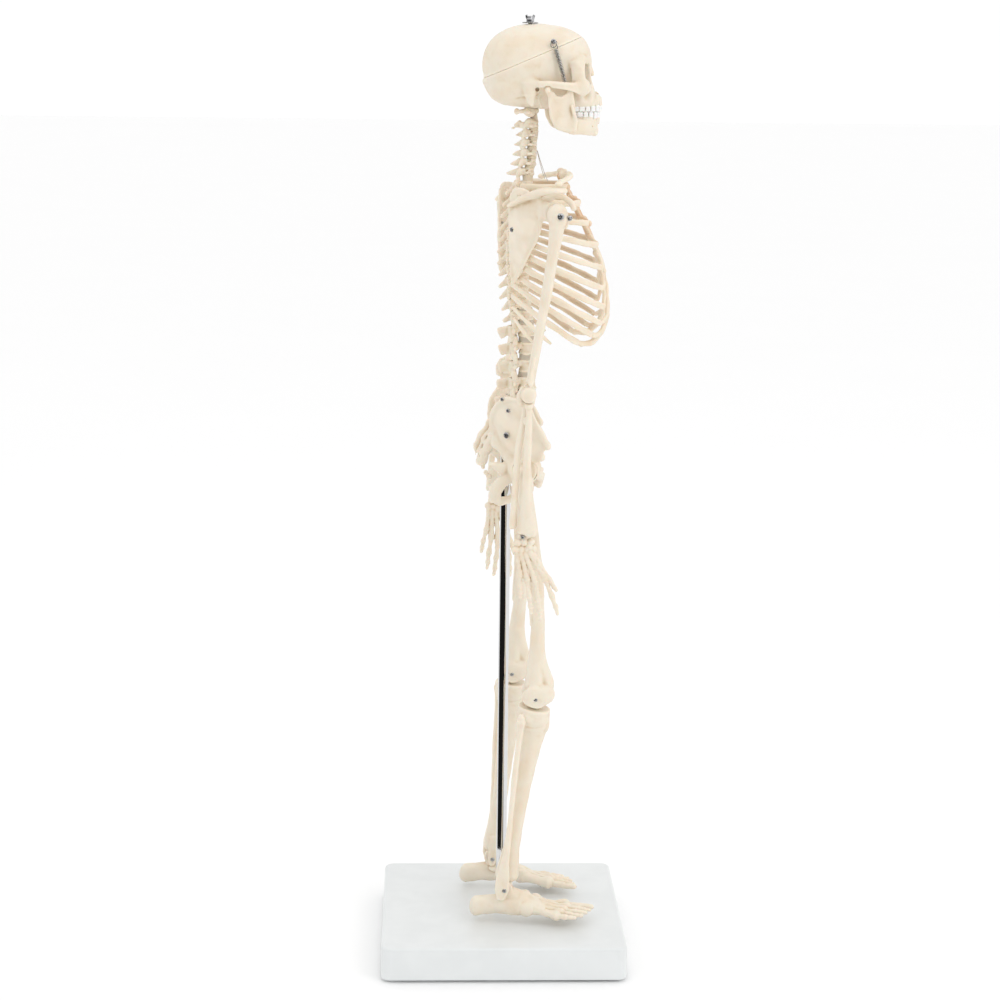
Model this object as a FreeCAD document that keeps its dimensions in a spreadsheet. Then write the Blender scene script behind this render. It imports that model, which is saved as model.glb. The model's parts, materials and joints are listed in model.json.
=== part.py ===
import FreeCAD, Part
import os
from math import asin, atan2, cos, degrees, pi, radians, sin

from FreeCAD import Placement, Rotation, Vector

# Half-size human skeleton on a square base with a support rod.
# Millimetres, +Z up. The origin is the centre of the base's underside.
# The skeleton faces -Y, so its right side is at -X and its left side at +X.
# Bones are lofts through ellipses. Each ellipse is a station (out, y, z, wide, thin):
# its centre, with out counted away from the middle plane, and its two half sizes as
# multiples of the bone's own radius in the sheet.

RIGHT, LEFT = -1, 1
SIDE_NAME = {RIGHT: "right", LEFT: "left"}
ORIGIN = Vector(0, 0, 0)
X_AXIS, Y_AXIS, Z_AXIS = Vector(1, 0, 0), Vector(0, 1, 0), Vector(0, 0, 1)

SIZES = [
    # stand
    ("base_side", 220, "side of the square base"),
    ("base_top", 32, "height of the base's top over the table"),
    ("base_corner", 9, "radius of the base's upright edges"),
    ("base_edge", 3, "radius of the base's top edge"),
    ("foot_pad_radius", 9, "rubber foot"),
    ("foot_pad_height", 2.5, "rubber foot, and the gap under the base"),
    ("foot_pad_inset", 22, "rubber foot's centre from the base's sides"),
    ("rod_radius", 4.8, "chromed support rod"),
    ("rod_bottom", 8, "lower end of the rod inside the base"),
    ("rod_top", 488, "upper end of the rod inside the sacrum"),
    ("rod_nut_radius", 8.5, "nut that clamps the rod under the sacrum"),
    ("rod_nut_height", 6, "the same nut"),
    ("boss_bottom", 473, "underside of the sacrum's boss for the rod"),
    ("boss_radius", 8, "sacrum's boss for the rod"),
    # spine
    ("core_radius", 1.6, "rod that strings the vertebrae"),
    ("bolt_radius", 2, "threaded upper end of that rod, through the skull"),
    ("bolt_y", -17, "the skull's turning axis"),
    ("bolt_bottom", 764, "where the core becomes the bolt"),
    ("bolt_top", 845.5, "upper end of the bolt"),
    ("running_gap", 0.05, "radial clearance of a turning fit"),
    ("fixed_gap", 0.02, "radial clearance of a fixed fit"),
    ("body_radius", 8, "half width of a middle vertebra's body"),
    ("process_radius", 2, "vertebral processes"),
    ("disc_gap", 0.15, "free space above and below a disc"),
    ("sacrum_radius", 10, "sacrum"),
    # pelvis
    ("ilium_radius", 10, "iliac wing"),
    ("ramus_radius", 4, "ischium and pubis"),
    ("hip_out", 43, "hip centre from the middle plane"),
    ("hip_y", -15, "hip centre"),
    ("hip_z", 453, "hip centre"),
    ("hip_head_radius", 11, "femoral head"),
    ("hip_cup_radius", 11.4, "acetabulum"),
    ("hip_block_radius", 14.5, "bone round the acetabulum"),
    # thorax
    ("rib_radius", 2.7, "half height of a rib"),
    ("cartilage_radius", 2.4, "half height of a costal cartilage"),
    ("sternum_radius", 9, "half width of the sternum"),
    # skull
    ("skull_half_width", 36, "braincase"),
    ("skull_half_length", 45.7, "braincase"),
    ("skull_half_height", 36.3, "braincase"),
    ("skull_y", -23, "braincase centre"),
    ("skull_z", 803, "braincase centre"),
    ("skull_wall", 2.6, "thickness of the braincase"),
    ("cap_cut_z", 809.2, "height of the sawn joint on the bolt's axis"),
    ("cap_cut_slope", 23, "rise of the sawn joint towards the face, degrees"),
    ("cap_gap", 0.1, "free space in the sawn joint"),
    ("face_radius", 15, "upper jaw and cheeks"),
    ("orbit_radius", 9, "eye socket"),
    ("jaw_radius", 5, "half height of the lower jaw"),
    ("jaw_axis_y", -31, "jaw hinge"),
    ("jaw_axis_z", 783, "jaw hinge"),
    ("condyle_radius", 2.5, "jaw condyle"),
    ("condyle_inner", 37, "inner end of a condyle from the middle plane"),
    ("condyle_length", 4, "jaw condyle"),
    ("spring_radius", 2.1, "jaw spring"),
    ("washer_radius", 7, "washer on the cap"),
    ("washer_height", 1, "washer on the cap"),
    ("washer_z", 839.4, "underside of the washer"),
    ("nut_radius", 3.6, "hub of the wing nut"),
    ("nut_height", 4.6, "hub of the wing nut"),
    # shoulder girdle
    ("clavicle_radius", 3, "clavicle"),
    ("scapula_thickness", 2.6, "blade of the scapula"),
    ("scapula_ridge_radius", 3, "spine and acromion of the scapula"),
    # arm
    ("shoulder_out", 84, "shoulder pivot from the middle plane"),
    ("shoulder_z", 679, "shoulder pivot"),
    ("humerus_radius", 4.6, "shaft of the humerus"),
    ("humerus_head_radius", 9.5, "head of the humerus"),
    ("humerus_length", 154, "shoulder pivot to elbow pin"),
    ("elbow_radius", 6.6, "round lower end of the humerus"),
    ("elbow_width", 25, "round lower end of the humerus"),
    ("elbow_slot", 6.6, "slot for the ulna's tongue"),
    ("forearm_radius", 3, "shafts of radius and ulna"),
    ("forearm_length", 124, "elbow pin to wrist pin"),
    ("wrist_slot", 4.4, "slot for the hand's tongue"),
    ("hand_radius", 4, "half thickness of the palm"),
    ("finger_radius", 2.4, "fingers"),
    ("arm_pin_radius", 1.5, "elbow and wrist pins"),
    # leg
    ("femur_radius", 6.2, "shaft of the femur"),
    ("femur_length", 206, "hip centre to knee pin"),
    ("knee_radius", 11.5, "round lower end of the femur"),
    ("knee_width", 34, "round lower end of the femur"),
    ("knee_slot", 8.6, "slot for the tibia's tongue"),
    ("tibia_radius", 6, "shaft of the tibia"),
    ("fibula_radius", 2.6, "shaft of the fibula"),
    ("tibia_length", 184, "knee pin to ankle pin"),
    ("ankle_radius", 7.5, "round upper part of the foot"),
    ("ankle_width", 12, "round upper part of the foot"),
    ("foot_radius", 10, "heel and instep"),
    ("toe_radius", 2.4, "toes"),
    ("leg_pin_radius", 1.9, "knee and ankle pins"),
    # screws
    ("pivot_radius", 2, "shoulder and hip pivot screws"),
    ("screw_head_radius", 3, "domed screw heads"),
    ("small_screw_radius", 1.2, "pelvis, scapula and temple screws"),
]

doc = FreeCAD.newDocument("Skeleton")
sheet = doc.addObject("Spreadsheet::Sheet", "Sizes")
for row, (alias, value, meaning) in enumerate(SIZES, start=1):
    sheet.set(f"A{row}", meaning)
    sheet.set(f"B{row}", str(value))
    sheet.setAlias(f"B{row}", alias)
doc.recompute()

nodes = []


def size(alias):
    """A driving dimension from the sheet."""
    return float(sheet.get(alias))


def add(kind, name, **formulas):
    """A document object whose properties are bound to the sheet."""
    thing = doc.addObject(kind, name)
    for prop, formula in formulas.items():
        thing.setExpression(prop.replace("_at_", "Placement.Base."), formula)
    return thing


def node(thing, label, placement=None):
    """Marks a finished sub-part: its label is its file's name."""
    thing.Label = label
    if placement is not None:
        thing.Placement = placement
    nodes.append(thing)
    return thing


def turned(axis, angle, at=ORIGIN):
    return Placement(at, Rotation(axis, angle))


def cylinder(name, radius, length, at=ORIGIN, axis=Z_AXIS):
    """A cylinder from the point at, along axis. Radius and length are formulas."""
    thing = add("Part::Cylinder", name, Radius=radius, Height=length)
    thing.Placement = Placement(at, Rotation(Z_AXIS, axis))
    return thing


def cross_pin(name, radius, length, at=ORIGIN, width=None):
    """A cylinder along X, centred on the point at. width is its length in millimetres."""
    return cylinder(name, radius, length, at - X_AXIS * (width / 2), X_AXIS)


def ball(name, radius, at):
    thing = add("Part::Sphere", name, Radius=radius)
    thing.Placement.Base = at
    return thing


def ellipsoid(name, half_x, half_y, half_z, at):
    thing = add("Part::Ellipsoid", name, Radius2=half_x, Radius3=half_y, Radius1=half_z)
    thing.Placement.Base = at
    return thing


def block(name, low, high):
    """A box between two corners."""
    thing = doc.addObject("Part::Box", name)
    thing.Length, thing.Width, thing.Height = high - low
    thing.Placement.Base = low
    return thing


def fuse(name, parts):
    thing = doc.addObject("Part::MultiFuse", name)
    thing.Shapes = parts
    return thing


def cut(name, base, tools):
    thing = doc.addObject("Part::Cut", name)
    thing.Base = base
    thing.Tool = tools[0] if len(tools) == 1 else fuse(name + "_tools", tools)
    return thing


def common(name, base, tool):
    thing = doc.addObject("Part::Common", name)
    thing.Base, thing.Tool = base, tool
    return thing


def group(name, parts):
    thing = doc.addObject("Part::Compound", name)
    thing.Links = parts
    return thing


def mirrored(name, source):
    """The same piece on the other side of the middle plane."""
    thing = doc.addObject("Part::Mirroring", name)
    thing.Source = source
    thing.Normal = X_AXIS
    return thing


def loft(name, side, radius, stations, wide=X_AXIS, along=None):
    """A bone through elliptical stations. along fixes the stations' normal; without it
    they stand square to the path. wide is the direction of their longer half size."""
    centres = [Vector(side * out, y, z) for out, y, z, _, _ in stations]
    sections = []
    for i, (_, _, _, half_wide, half_thin) in enumerate(stations):
        ahead = centres[min(i + 1, len(centres) - 1)] - centres[max(i - 1, 0)]
        normal = along if along is not None else ahead
        across = wide - normal * (wide.dot(normal) / normal.dot(normal))
        section = add("Part::Ellipse", f"{name}_section_{i}",
                      MajorRadius=f"Sizes.{radius} * {half_wide}",
                      MinorRadius=f"Sizes.{radius} * {half_thin}")
        section.Placement = Placement(centres[i], Rotation(across, Vector(), normal, "ZXY"))
        sections.append(section)
    thing = doc.addObject("Part::Loft", name)
    thing.Sections = sections
    thing.Solid = True
    thing.Ruled = False
    return thing


def between(start, end):
    """Puts a bone drawn down from the origin where its ends are, turned about X only, so
    that its cross pins stay along X."""
    run = end - start
    return turned(X_AXIS, degrees(atan2(run.y, -run.z)), start)


def fraction(length, stations):
    """Stations whose z is a fraction of the bone's length, counted down from its origin."""
    return [(out, y, -z * size(length), wide, thin) for out, y, z, wide, thin in stations]


# ---- stand ---------------------------------------------------------------------------

def make_base():
    body = doc.addObject("PartDesign::Body", "BasePlinth")
    sketch = body.newObject("Sketcher::SketchObject", "base_outline")
    plane = next(f for f in body.Origin.OriginFeatures if f.Role == "XY_Plane")
    sketch.AttachmentSupport = [(plane, "")]
    sketch.MapMode = "FlatFace"
    half = size("base_side") / 2
    corners = [Vector(-half, -half), Vector(half, -half), Vector(half, half), Vector(-half, half)]
    for i in range(4):
        sketch.addGeometry(Part.LineSegment(corners[i], corners[(i + 1) % 4]), False)
    import Sketcher
    for i in range(4):
        sketch.addConstraint(Sketcher.Constraint("Coincident", i, 2, (i + 1) % 4, 1))
    for i in (0, 2):
        sketch.addConstraint(Sketcher.Constraint("Horizontal", i))
    for i in (1, 3):
        sketch.addConstraint(Sketcher.Constraint("Vertical", i))
    sketch.addConstraint(Sketcher.Constraint("Symmetric", 0, 1, 1, 2, -1, 1))
    for name, line in (("width", 0), ("depth", 1)):
        index = sketch.addConstraint(Sketcher.Constraint("Distance", line, size("base_side")))
        sketch.renameConstraint(index, name)
        sketch.setExpression(f"Constraints.{name}", "Sizes.base_side")
    pad = body.newObject("PartDesign::Pad", "base_plate")
    pad.Profile = sketch
    pad.setExpression("Length", "Sizes.base_top - Sizes.foot_pad_height")
    doc.recompute()
    upright = body.newObject("PartDesign::Fillet", "base_corners")
    upright.Base = (pad, edges_where(pad.Shape, is_upright))
    upright.setExpression("Radius", "Sizes.base_corner")
    doc.recompute()
    top = body.newObject("PartDesign::Fillet", "base_top_edge")
    top.Base = (upright, edges_where(upright.Shape, is_at_top))
    top.setExpression("Radius", "Sizes.base_edge")
    doc.recompute()
    socket = body.newObject("PartDesign::Hole", "rod_socket")
    ring = body.newObject("Sketcher::SketchObject", "rod_socket_centre")
    ring.AttachmentSupport = [(top, face_at_top(top.Shape))]
    ring.MapMode = "FlatFace"
    ring.addGeometry(Part.Circle(ORIGIN, Z_AXIS, size("rod_radius")), False)
    doc.recompute()
    socket.Profile = ring
    socket.DepthType = "Dimension"
    socket.DrillPoint = "Flat"
    socket.setExpression("Diameter", "2 * (Sizes.rod_radius + Sizes.fixed_gap)")
    socket.setExpression("Depth", "Sizes.base_top - Sizes.rod_bottom")
    body.Tip = socket
    node(body, "base_plinth", Placement(Z_AXIS * size("foot_pad_height"), Rotation()))


def edges_where(shape, wanted):
    return [f"Edge{i}" for i, edge in enumerate(shape.Edges, start=1) if wanted(shape, edge)]


def is_upright(shape, edge):
    return edge.BoundBox.ZLength > shape.BoundBox.ZLength - 0.01


def is_at_top(shape, edge):
    return edge.BoundBox.ZMin > shape.BoundBox.ZMax - 0.01


def face_at_top(shape):
    tops = [f"Face{i}" for i, face in enumerate(shape.Faces, start=1)
            if face.BoundBox.ZMin > shape.BoundBox.ZMax - 0.01]
    return tops[0]


def make_stand():
    make_base()
    reach = size("base_side") / 2 - size("foot_pad_inset")
    pads = [cylinder(f"foot_pad_{i}", "Sizes.foot_pad_radius", "Sizes.foot_pad_height",
                     Vector(x, y, 0))
            for i, (x, y) in enumerate([(-reach, -reach), (reach, -reach),
                                        (reach, reach), (-reach, reach)])]
    node(group("FootPads", pads), "base_feet")
    rod = cylinder("SupportRod", "Sizes.rod_radius", "Sizes.rod_top - Sizes.rod_bottom",
                   Z_AXIS * size("rod_bottom"))
    node(rod, "support_rod")
    nut = add("Part::Prism", "nut_hexagon", Circumradius="Sizes.rod_nut_radius",
              Height="Sizes.rod_nut_height")
    nut.Polygon = 6
    nut_bottom = size("boss_bottom") - size("rod_nut_height")
    nut.Placement.Base = Z_AXIS * nut_bottom
    hole = cylinder("nut_hole", "Sizes.rod_radius + Sizes.fixed_gap", "Sizes.rod_nut_height",
                    Z_AXIS * nut_bottom)
    node(cut("RodNut", nut, [hole]), "rod_nut")


# ---- spine ---------------------------------------------------------------------------

# The spine's curve: (height, y) of the line through the centres of the vertebral bodies.
SPINE = [(492, -13), (520, -18), (548, -18.5), (580, -16.5), (612, -12), (645, -10),
         (678, -12), (705, -16.5), (730, -20), (750, -21), (764, -17)]

# Per region: count, first and last body centre height, half width and half depth at both
# ends, body height at both ends, spinous process length and drop, transverse reach.
REGIONS = {
    "lumbar": dict(count=5, low=509, high=572, half_width=(11.5, 10.5), half_depth=(8.5, 7.8),
                   height=(11, 10.5), spine=(27, 25), drop=(2, 3), reach=(19, 17)),
    "thoracic": dict(count=12, low=585.5, high=700, half_width=(9.5, 7.5), half_depth=(7.2, 5),
                     height=(8.2, 7.4), spine=(20, 19), drop=(6, 8), reach=(9.5, 10)),
    "cervical": dict(count=7, low=712, high=761.3, half_width=(7.5, 7), half_depth=(4.8, 4),
                     height=(5.6, 5), spine=(19, 13), drop=(4, 2), reach=(12, 14)),
}


def spine_y(height):
    """Depth of the spine's centre line at a height, smooth between its given points."""
    for (z0, y0), (z1, y1) in zip(SPINE, SPINE[1:]):
        if height <= z1:
            share = max(0.0, (height - z0) / (z1 - z0))
            return y0 + (y1 - y0) * (1 - cos(pi * share)) / 2
    return SPINE[-1][1]


def ramp(ends, share):
    return ends[0] + (ends[1] - ends[0]) * share


def vertebra(name, z, region, share):
    """A vertebra: a drum, a spinous process behind it and two transverse processes."""
    y = spine_y(z)
    height = ramp(region["height"], share)
    wide, deep = (ramp(region[k], share) for k in ("half_width", "half_depth"))
    unit = size("body_radius")
    drum = [(0, y, z - height / 2, wide, deep), (0, y, z, wide * 0.9, deep * 0.9),
            (0, y, z + height / 2, wide, deep)]
    drum = [(o, dy, dz, w / unit, d / unit) for o, dy, dz, w, d in drum]
    reach, drop = ramp(region["reach"], share), ramp(region["drop"], share)
    back = y + deep
    tip = y + ramp(region["spine"], share)
    slab = height * 0.36 / size("process_radius")
    spinous = [(0, back - 3, z, slab * 1.05, min(1.3, slab)),
               (0, (back + tip) / 2, z - drop / 2, slab, min(0.8, slab)),
               (0, tip, z - drop, slab * 1.1, min(1.0, slab))]
    side = [(-reach, back + 3, z + 0.5, 0.9, 0.8), (-reach / 2, back + 1, z, 1.0, 0.9),
            (0, back, z, 1.2, 1.2), (reach / 2, back + 1, z, 1.0, 0.9),
            (reach, back + 3, z + 0.5, 0.9, 0.8)]
    return fuse(name, [
        loft(name + "_drum", 1, "body_radius", drum, X_AXIS, Z_AXIS),
        loft(name + "_spinous", 1, "process_radius", spinous, Z_AXIS, Y_AXIS),
        loft(name + "_transverse", 1, "process_radius", side, Y_AXIS, X_AXIS),
    ])


def levels(region):
    """(height, share) of each vertebra of a region, from the lowest up."""
    last = region["count"] - 1
    for i in range(region["count"]):
        yield ramp((region["low"], region["high"]), i / last), i / last


def make_spine():
    top = SPINE[-1][0]
    stations = [(0, spine_y(z), z, 1, 1) for z, _ in SPINE]
    core = loft("core_rod", 1, "core_radius", stations, X_AXIS, Z_AXIS)
    bolt = cylinder("skull_bolt", "Sizes.bolt_radius", "Sizes.bolt_top - Sizes.bolt_bottom",
                    Vector(0, size("bolt_y"), top))
    node(fuse("SpineCore", [core, bolt]), "spine_core")
    ends = []
    for name, region in REGIONS.items():
        bones = [vertebra(f"{name}_{i}", z, region, share)
                 for i, (z, share) in enumerate(levels(region))]
        node(cut(name.capitalize(), group(name + "_bones", bones), [core_hole(name + "_bore")]),
             name + "_vertebrae")
        for z, share in levels(region):
            half = ramp(region["height"], share) / 2
            ends.append((z - half, z + half, ramp(region["half_width"], share),
                         ramp(region["half_depth"], share)))
    make_discs(ends)


def core_hole(name):
    """The hole that the spine's rod fills, all the way up."""
    stations = [(0, spine_y(z), z, 1.02, 1.02) for z, _ in SPINE]
    return loft(name, 1, "core_radius", stations, X_AXIS, Z_AXIS)


def make_discs(ends):
    """A soft disc in each gap between two drums, a little smaller than they are."""
    gap, unit = size("disc_gap"), size("body_radius")
    discs = []
    for i, (lower, upper) in enumerate(zip(ends, ends[1:])):
        wide, deep = lower[2] * 0.9 / unit, lower[3] * 0.9 / unit
        stations = [(0, spine_y(z), z, wide, deep) for z in (lower[1] + gap, upper[0] - gap)]
        discs.append(loft(f"disc_{i}", 1, "body_radius", stations, X_AXIS, Z_AXIS))
    node(cut("Discs", group("disc_set", discs), [core_hole("disc_bore")]), "intervertebral_discs")


# ---- pelvis --------------------------------------------------------------------------

# Sacrum and coccyx, from the top down.
SACRUM = [(0, -11.5, 497, 2.1, 1.0), (0, -6, 490, 2.3, 1.2), (0, 6, 482, 2.25, 1.05),
          (0, 16, 470, 1.7, 0.75), (0, 21.5, 458, 1.2, 0.55), (0, 20.5, 447, 0.55, 0.4),
          (0, 15.5, 440, 0.3, 0.25)]
# Iliac wing: stations stacked upwards, each a long thin ellipse turned outwards.
ILIUM = [(41, -12, 454, 1.1, 0.9), (40.5, -10, 466, 1.95, 0.65), (43, -8.5, 482, 2.8, 0.4),
         (46, -8, 500, 2.9, 0.36), (47.5, -4, 512, 2.0, 0.3)]
ILIUM_TURN = 40
# Ischium and pubis: one ring of bone round the obturator opening.
ISCHIUM = [(37.5, -6, 447, 1.6, 1.5), (38, 6, 440, 1.5, 1.4), (35, 12, 429, 1.5, 1.5),
           (26, 6, 422, 1.0, 0.9), (16, -10, 425, 0.9, 0.8), (7, -24, 432, 1.5, 1.1)]
PUBIS = [(37, -22, 449, 1.5, 1.3), (24, -28, 444, 1.0, 0.9), (14, -30, 441, 1.1, 1.0),
         (6, -28, 437, 1.9, 1.1)]
ISCHIAL_SPINE = [(40, 2, 452, 1.6, 1.2), (39, 10, 456, 1.0, 0.8), (38.5, 16, 457.5, 0.6, 0.5)]


def make_sacrum():
    bone = loft("sacrum_bone", 1, "sacrum_radius", SACRUM, X_AXIS)
    boss = cylinder("sacrum_boss", "Sizes.boss_radius", "Sizes.rod_top + 3 - Sizes.boss_bottom",
                    Z_AXIS * size("boss_bottom"))
    clear = block("sacrum_clearance", Vector(-12, -12, size("boss_bottom") - 12),
                  Vector(12, 8, size("boss_bottom")))
    bore = cylinder("sacrum_bore", "Sizes.rod_radius + Sizes.fixed_gap",
                    "Sizes.rod_top - Sizes.boss_bottom + 12", Z_AXIS * (size("boss_bottom") - 12))
    core = core_hole("sacrum_core_hole")
    whole = fuse("sacrum_whole", [bone, boss])
    node(cut("Sacrum", whole, [clear, bore, core]), "sacrum")


def make_hip_bones():
    out, y, z = size("hip_out"), size("hip_y"), size("hip_z")
    angle = radians(ILIUM_TURN)
    wide = Vector(RIGHT * sin(angle), -cos(angle), 0)
    wing = loft("ilium", RIGHT, "ilium_radius", ILIUM, wide, Z_AXIS)
    socket = ball("hip_block", "Sizes.hip_block_radius", Vector(RIGHT * (out - 3), y, z))
    ischium = loft("ischium", RIGHT, "ramus_radius", ISCHIUM, X_AXIS)
    pubis = loft("pubis", RIGHT, "ramus_radius", PUBIS, Z_AXIS)
    spine = loft("ischial_spine", RIGHT, "ramus_radius", ISCHIAL_SPINE, Z_AXIS)
    bone = fuse("hip_bone_whole", [wing, socket, ischium, pubis, spine])
    centre = Vector(RIGHT * out, y, z)
    cup = ball("hip_cup", "Sizes.hip_cup_radius", centre)
    mouth = cylinder("hip_mouth", "Sizes.hip_cup_radius - 0.2", "30", centre, -X_AXIS)
    screw_hole = cylinder("hip_screw_hole", "Sizes.pivot_radius + Sizes.fixed_gap", "30",
                          centre, X_AXIS)
    middle = block("symphysis_clearance", Vector(-2.5, -50, 420), Vector(2.5, 0, 460))
    inner = block("sacrum_side_clearance", Vector(-24.6, -5, 470), Vector(0, 30, 520))
    right = cut("RightHip", bone, [cup, mouth, screw_hole, middle, inner])
    node(right, "right_hip_bone")
    node(mirrored("LeftHip", right), "left_hip_bone")
    pad = block("symphysis_block", Vector(-2.3, -31, 431), Vector(2.3, -22, 443))
    soft = doc.addObject("Part::Fillet", "Symphysis")
    soft.Base = pad
    soft.Edges = [(i, 0.8, 0.8) for i in range(1, 13)]
    node(soft, "pubic_symphysis")


# ---- thorax --------------------------------------------------------------------------

# Per rib from the top: greatest distance from the middle plane, and its front end
# (out, y, z).
RIBS = [(31, 23, -50, 700), (43, 28, -60, 686), (50, 30, -69, 669), (55, 31, -76, 650),
        (59, 32, -80, 631), (61, 33, -82, 613), (63, 35, -82.5, 597), (63, 38, -80, 583),
        (61, 43, -73, 573), (57, 46, -60, 566.5), (52, 48, -36, 566), (45, 42, -20, 567)]
RIB_STATIONS = 7
RIB_BACK = 12      # the ribs' rearmost reach behind the vertebral body's centre
RIB_HEAD_OUT = 11.5


def rib_path(level, height):
    """Stations of a rib: part of an ellipse in plan that sinks evenly towards the front.
    Its head bends forward to meet the vertebra."""
    half_width, front_out, front_y, front_z = RIBS[level]
    back_y = spine_y(height) + RIB_BACK
    start = asin(RIB_HEAD_OUT / half_width)
    end = pi - asin(front_out / half_width)
    half_depth = (back_y - front_y) / (1 - cos(end))
    path = []
    for i in range(RIB_STATIONS):
        angle = start + (end - start) * (i / (RIB_STATIONS - 1)) ** 0.85
        out = half_width * sin(angle)
        y = back_y - half_depth * (1 - cos(angle))
        sink = (back_y - y) / (back_y - front_y)
        bend = RIB_BACK * 0.62 * max(0.0, 1 - (out - RIB_HEAD_OUT) / 14) ** 2
        path.append((out, y - bend, height + (front_z - height) * sink))
    return path


def make_ribs():
    heights = [z for z, _ in levels(REGIONS["thoracic"])][::-1]
    ribs = []
    for level, height in enumerate(heights):
        slim = 1.0 if level < 10 else 0.8
        stations = [(out, y, z, slim, 0.58 * slim) for out, y, z in rib_path(level, height)]
        ribs.append(loft(f"rib_{level + 1}", LEFT, "rib_radius", stations, Z_AXIS))
    left = group("LeftRibs", ribs)
    node(left, "left_ribs")
    node(mirrored("RightRibs", left), "right_ribs")
    return heights


# Breastbone from the notch down to the tip.
STERNUM = [(0, -44.5, 710.5, 1.3, 0.36), (0, -48.5, 702, 1.5, 0.36), (0, -55, 689, 0.95, 0.32),
           (0, -66, 668, 0.95, 0.32), (0, -77, 646, 1.15, 0.32), (0, -84.5, 627, 1.05, 0.3),
           (0, -87.5, 613, 0.5, 0.22), (0, -88, 602, 0.3, 0.18)]
# Where each true rib's cartilage meets the breastbone: (out, y, z).
CARTILAGE_ENDS = [(12, -47.5, 704), (9, -55, 690), (8, -64, 672), (8.5, -72, 656), (9, -79, 641),
                  (8.5, -83, 630), (8, -85.5, 622)]
# The margin that gathers the cartilages of the eighth to tenth rib.
MARGIN = [(44, -63.5, 565, 1.0, 0.7), (37, -73, 566, 1.1, 0.7), (29, -82, 574, 1.1, 0.75),
          (21, -87, 588, 1.1, 0.75), (14, -87.5, 602, 1.0, 0.7), (8.5, -86.5, 614, 0.9, 0.6)]


def make_front(heights):
    bone = loft("Sternum", 1, "sternum_radius", STERNUM, X_AXIS)
    node(bone, "sternum")
    gap = 0.5
    bars = []
    for level in range(9):
        half_width, out, y, z = RIBS[level]
        start, before = Vector(out, y, z), Vector(*rib_path(level, heights[level])[-2])
        heading = (start - before).normalize()
        first = start + heading * gap
        second = start + heading * 5
        if level < len(CARTILAGE_ENDS):
            last = Vector(*CARTILAGE_ENDS[level])
        else:
            last = Vector(*MARGIN[10 - level][:3])
        bend = (second + last) * 0.5 + Vector(0, -1.5, 0)
        points = [first, second, bend, last] if (last - second).Length > 9 else [first, last]
        stations = [(p.x, p.y, p.z, 1.0, 0.6) for p in points]
        bars.append(loft(f"cartilage_{level + 1}", RIGHT, "cartilage_radius", stations, Z_AXIS))
    bars.append(loft("costal_margin", RIGHT, "cartilage_radius", MARGIN, Z_AXIS))
    right = fuse("right_cartilage_set", bars)
    both = group("cartilage_pairs", [right, mirrored("left_cartilage_set", right)])
    node(cut("Cartilages", both, [bone]), "costal_cartilages")


# ---- skull ---------------------------------------------------------------------------

FACE = [(0, -60, 765.5, 1.2, 1.1), (0, -60, 775, 1.4, 1.0), (0, -57, 785, 1.8, 0.95),
        (0, -54, 797, 2.15, 1.0), (0, -51, 809, 2.2, 1.0), (0, -48, 816, 1.9, 0.9)]
CHEEK = [(27, -62, 784, 1.1, 0.7), (36, -55, 786, 0.55, 0.4), (41.5, -44, 786.5, 0.5, 0.32),
         (41.5, -35, 787.5, 0.5, 0.34), (38, -27, 788.5, 0.8, 0.6), (31, -22, 789, 1.0, 0.8)]
MASTOID = [(30, -17, 786, 1.6, 1.4), (33, -16.5, 777, 1.2, 1.0), (34, -17, 770, 0.6, 0.5)]
NOSE = [(0, -66, 803, 0.6, 0.6), (0, -71, 800, 0.6, 0.55), (0, -73, 797, 0.4, 0.35)]
UPPER_TEETH = [(19, -52, 765.5, 0.55, 0.45), (15.5, -66, 766, 0.55, 0.45),
               (8, -76, 766.3, 0.55, 0.4), (0, -78.5, 766.5, 0.55, 0.35)]
LOWER_TEETH = [(19.5, -51, 760.5, 0.45, 0.4), (15, -65, 760.7, 0.45, 0.4),
               (7.5, -73.5, 760.9, 0.45, 0.38), (0, -76, 761, 0.45, 0.33)]
JAW_BODY = [(36, -37, 757, 1.2, 0.42), (30, -50, 753.5, 1.3, 0.5), (19, -64, 752.5, 1.35, 0.6),
            (9, -71.5, 752, 1.35, 0.65), (0, -73.5, 751.5, 1.45, 0.65)]
RAMUS = [(36, -38.5, 757, 1.5, 0.4), (36.5, -37, 765, 1.5, 0.36), (37.5, -35, 775, 1.15, 0.34),
         (38.8, -31.5, 782, 0.5, 0.36)]
CORONOID = [(36.8, -41, 770, 0.9, 0.34), (37, -41, 776, 0.6, 0.3), (37.2, -39.5, 781, 0.3, 0.25)]


def both_sides(stations):
    """A row of stations that starts at one side and ends on the middle plane, completed
    with its mirror image."""
    return stations + [(-out, y, z, wide, thin) for out, y, z, wide, thin in stations[-2::-1]]


def braincase(name, less):
    """The braincase's ellipsoid, less a wall thickness given as a formula."""
    return ellipsoid(name, f"Sizes.skull_half_width - {less}", f"Sizes.skull_half_length - {less}",
                     f"Sizes.skull_half_height - {less}", Vector(0, size("skull_y"), size("skull_z")))


def saw_block(name, above, gap):
    """A large box on one side of the sawn joint, a gap away from it."""
    reach = 130
    box = block(name, Vector(-reach / 2, -reach / 2, 0), Vector(reach / 2, reach / 2, reach))
    tilt = Rotation(X_AXIS, -size("cap_cut_slope"))
    at = Vector(0, size("bolt_y"), size("cap_cut_z"))
    if above:
        corner = Placement(Vector(-reach / 2, -reach / 2, gap), Rotation())
        box.Placement = Placement(at, tilt).multiply(corner)
    else:
        box.Placement = Placement(at, tilt).multiply(
            Placement(Vector(-reach / 2, -reach / 2, -reach - gap), Rotation()))
    return box


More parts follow.
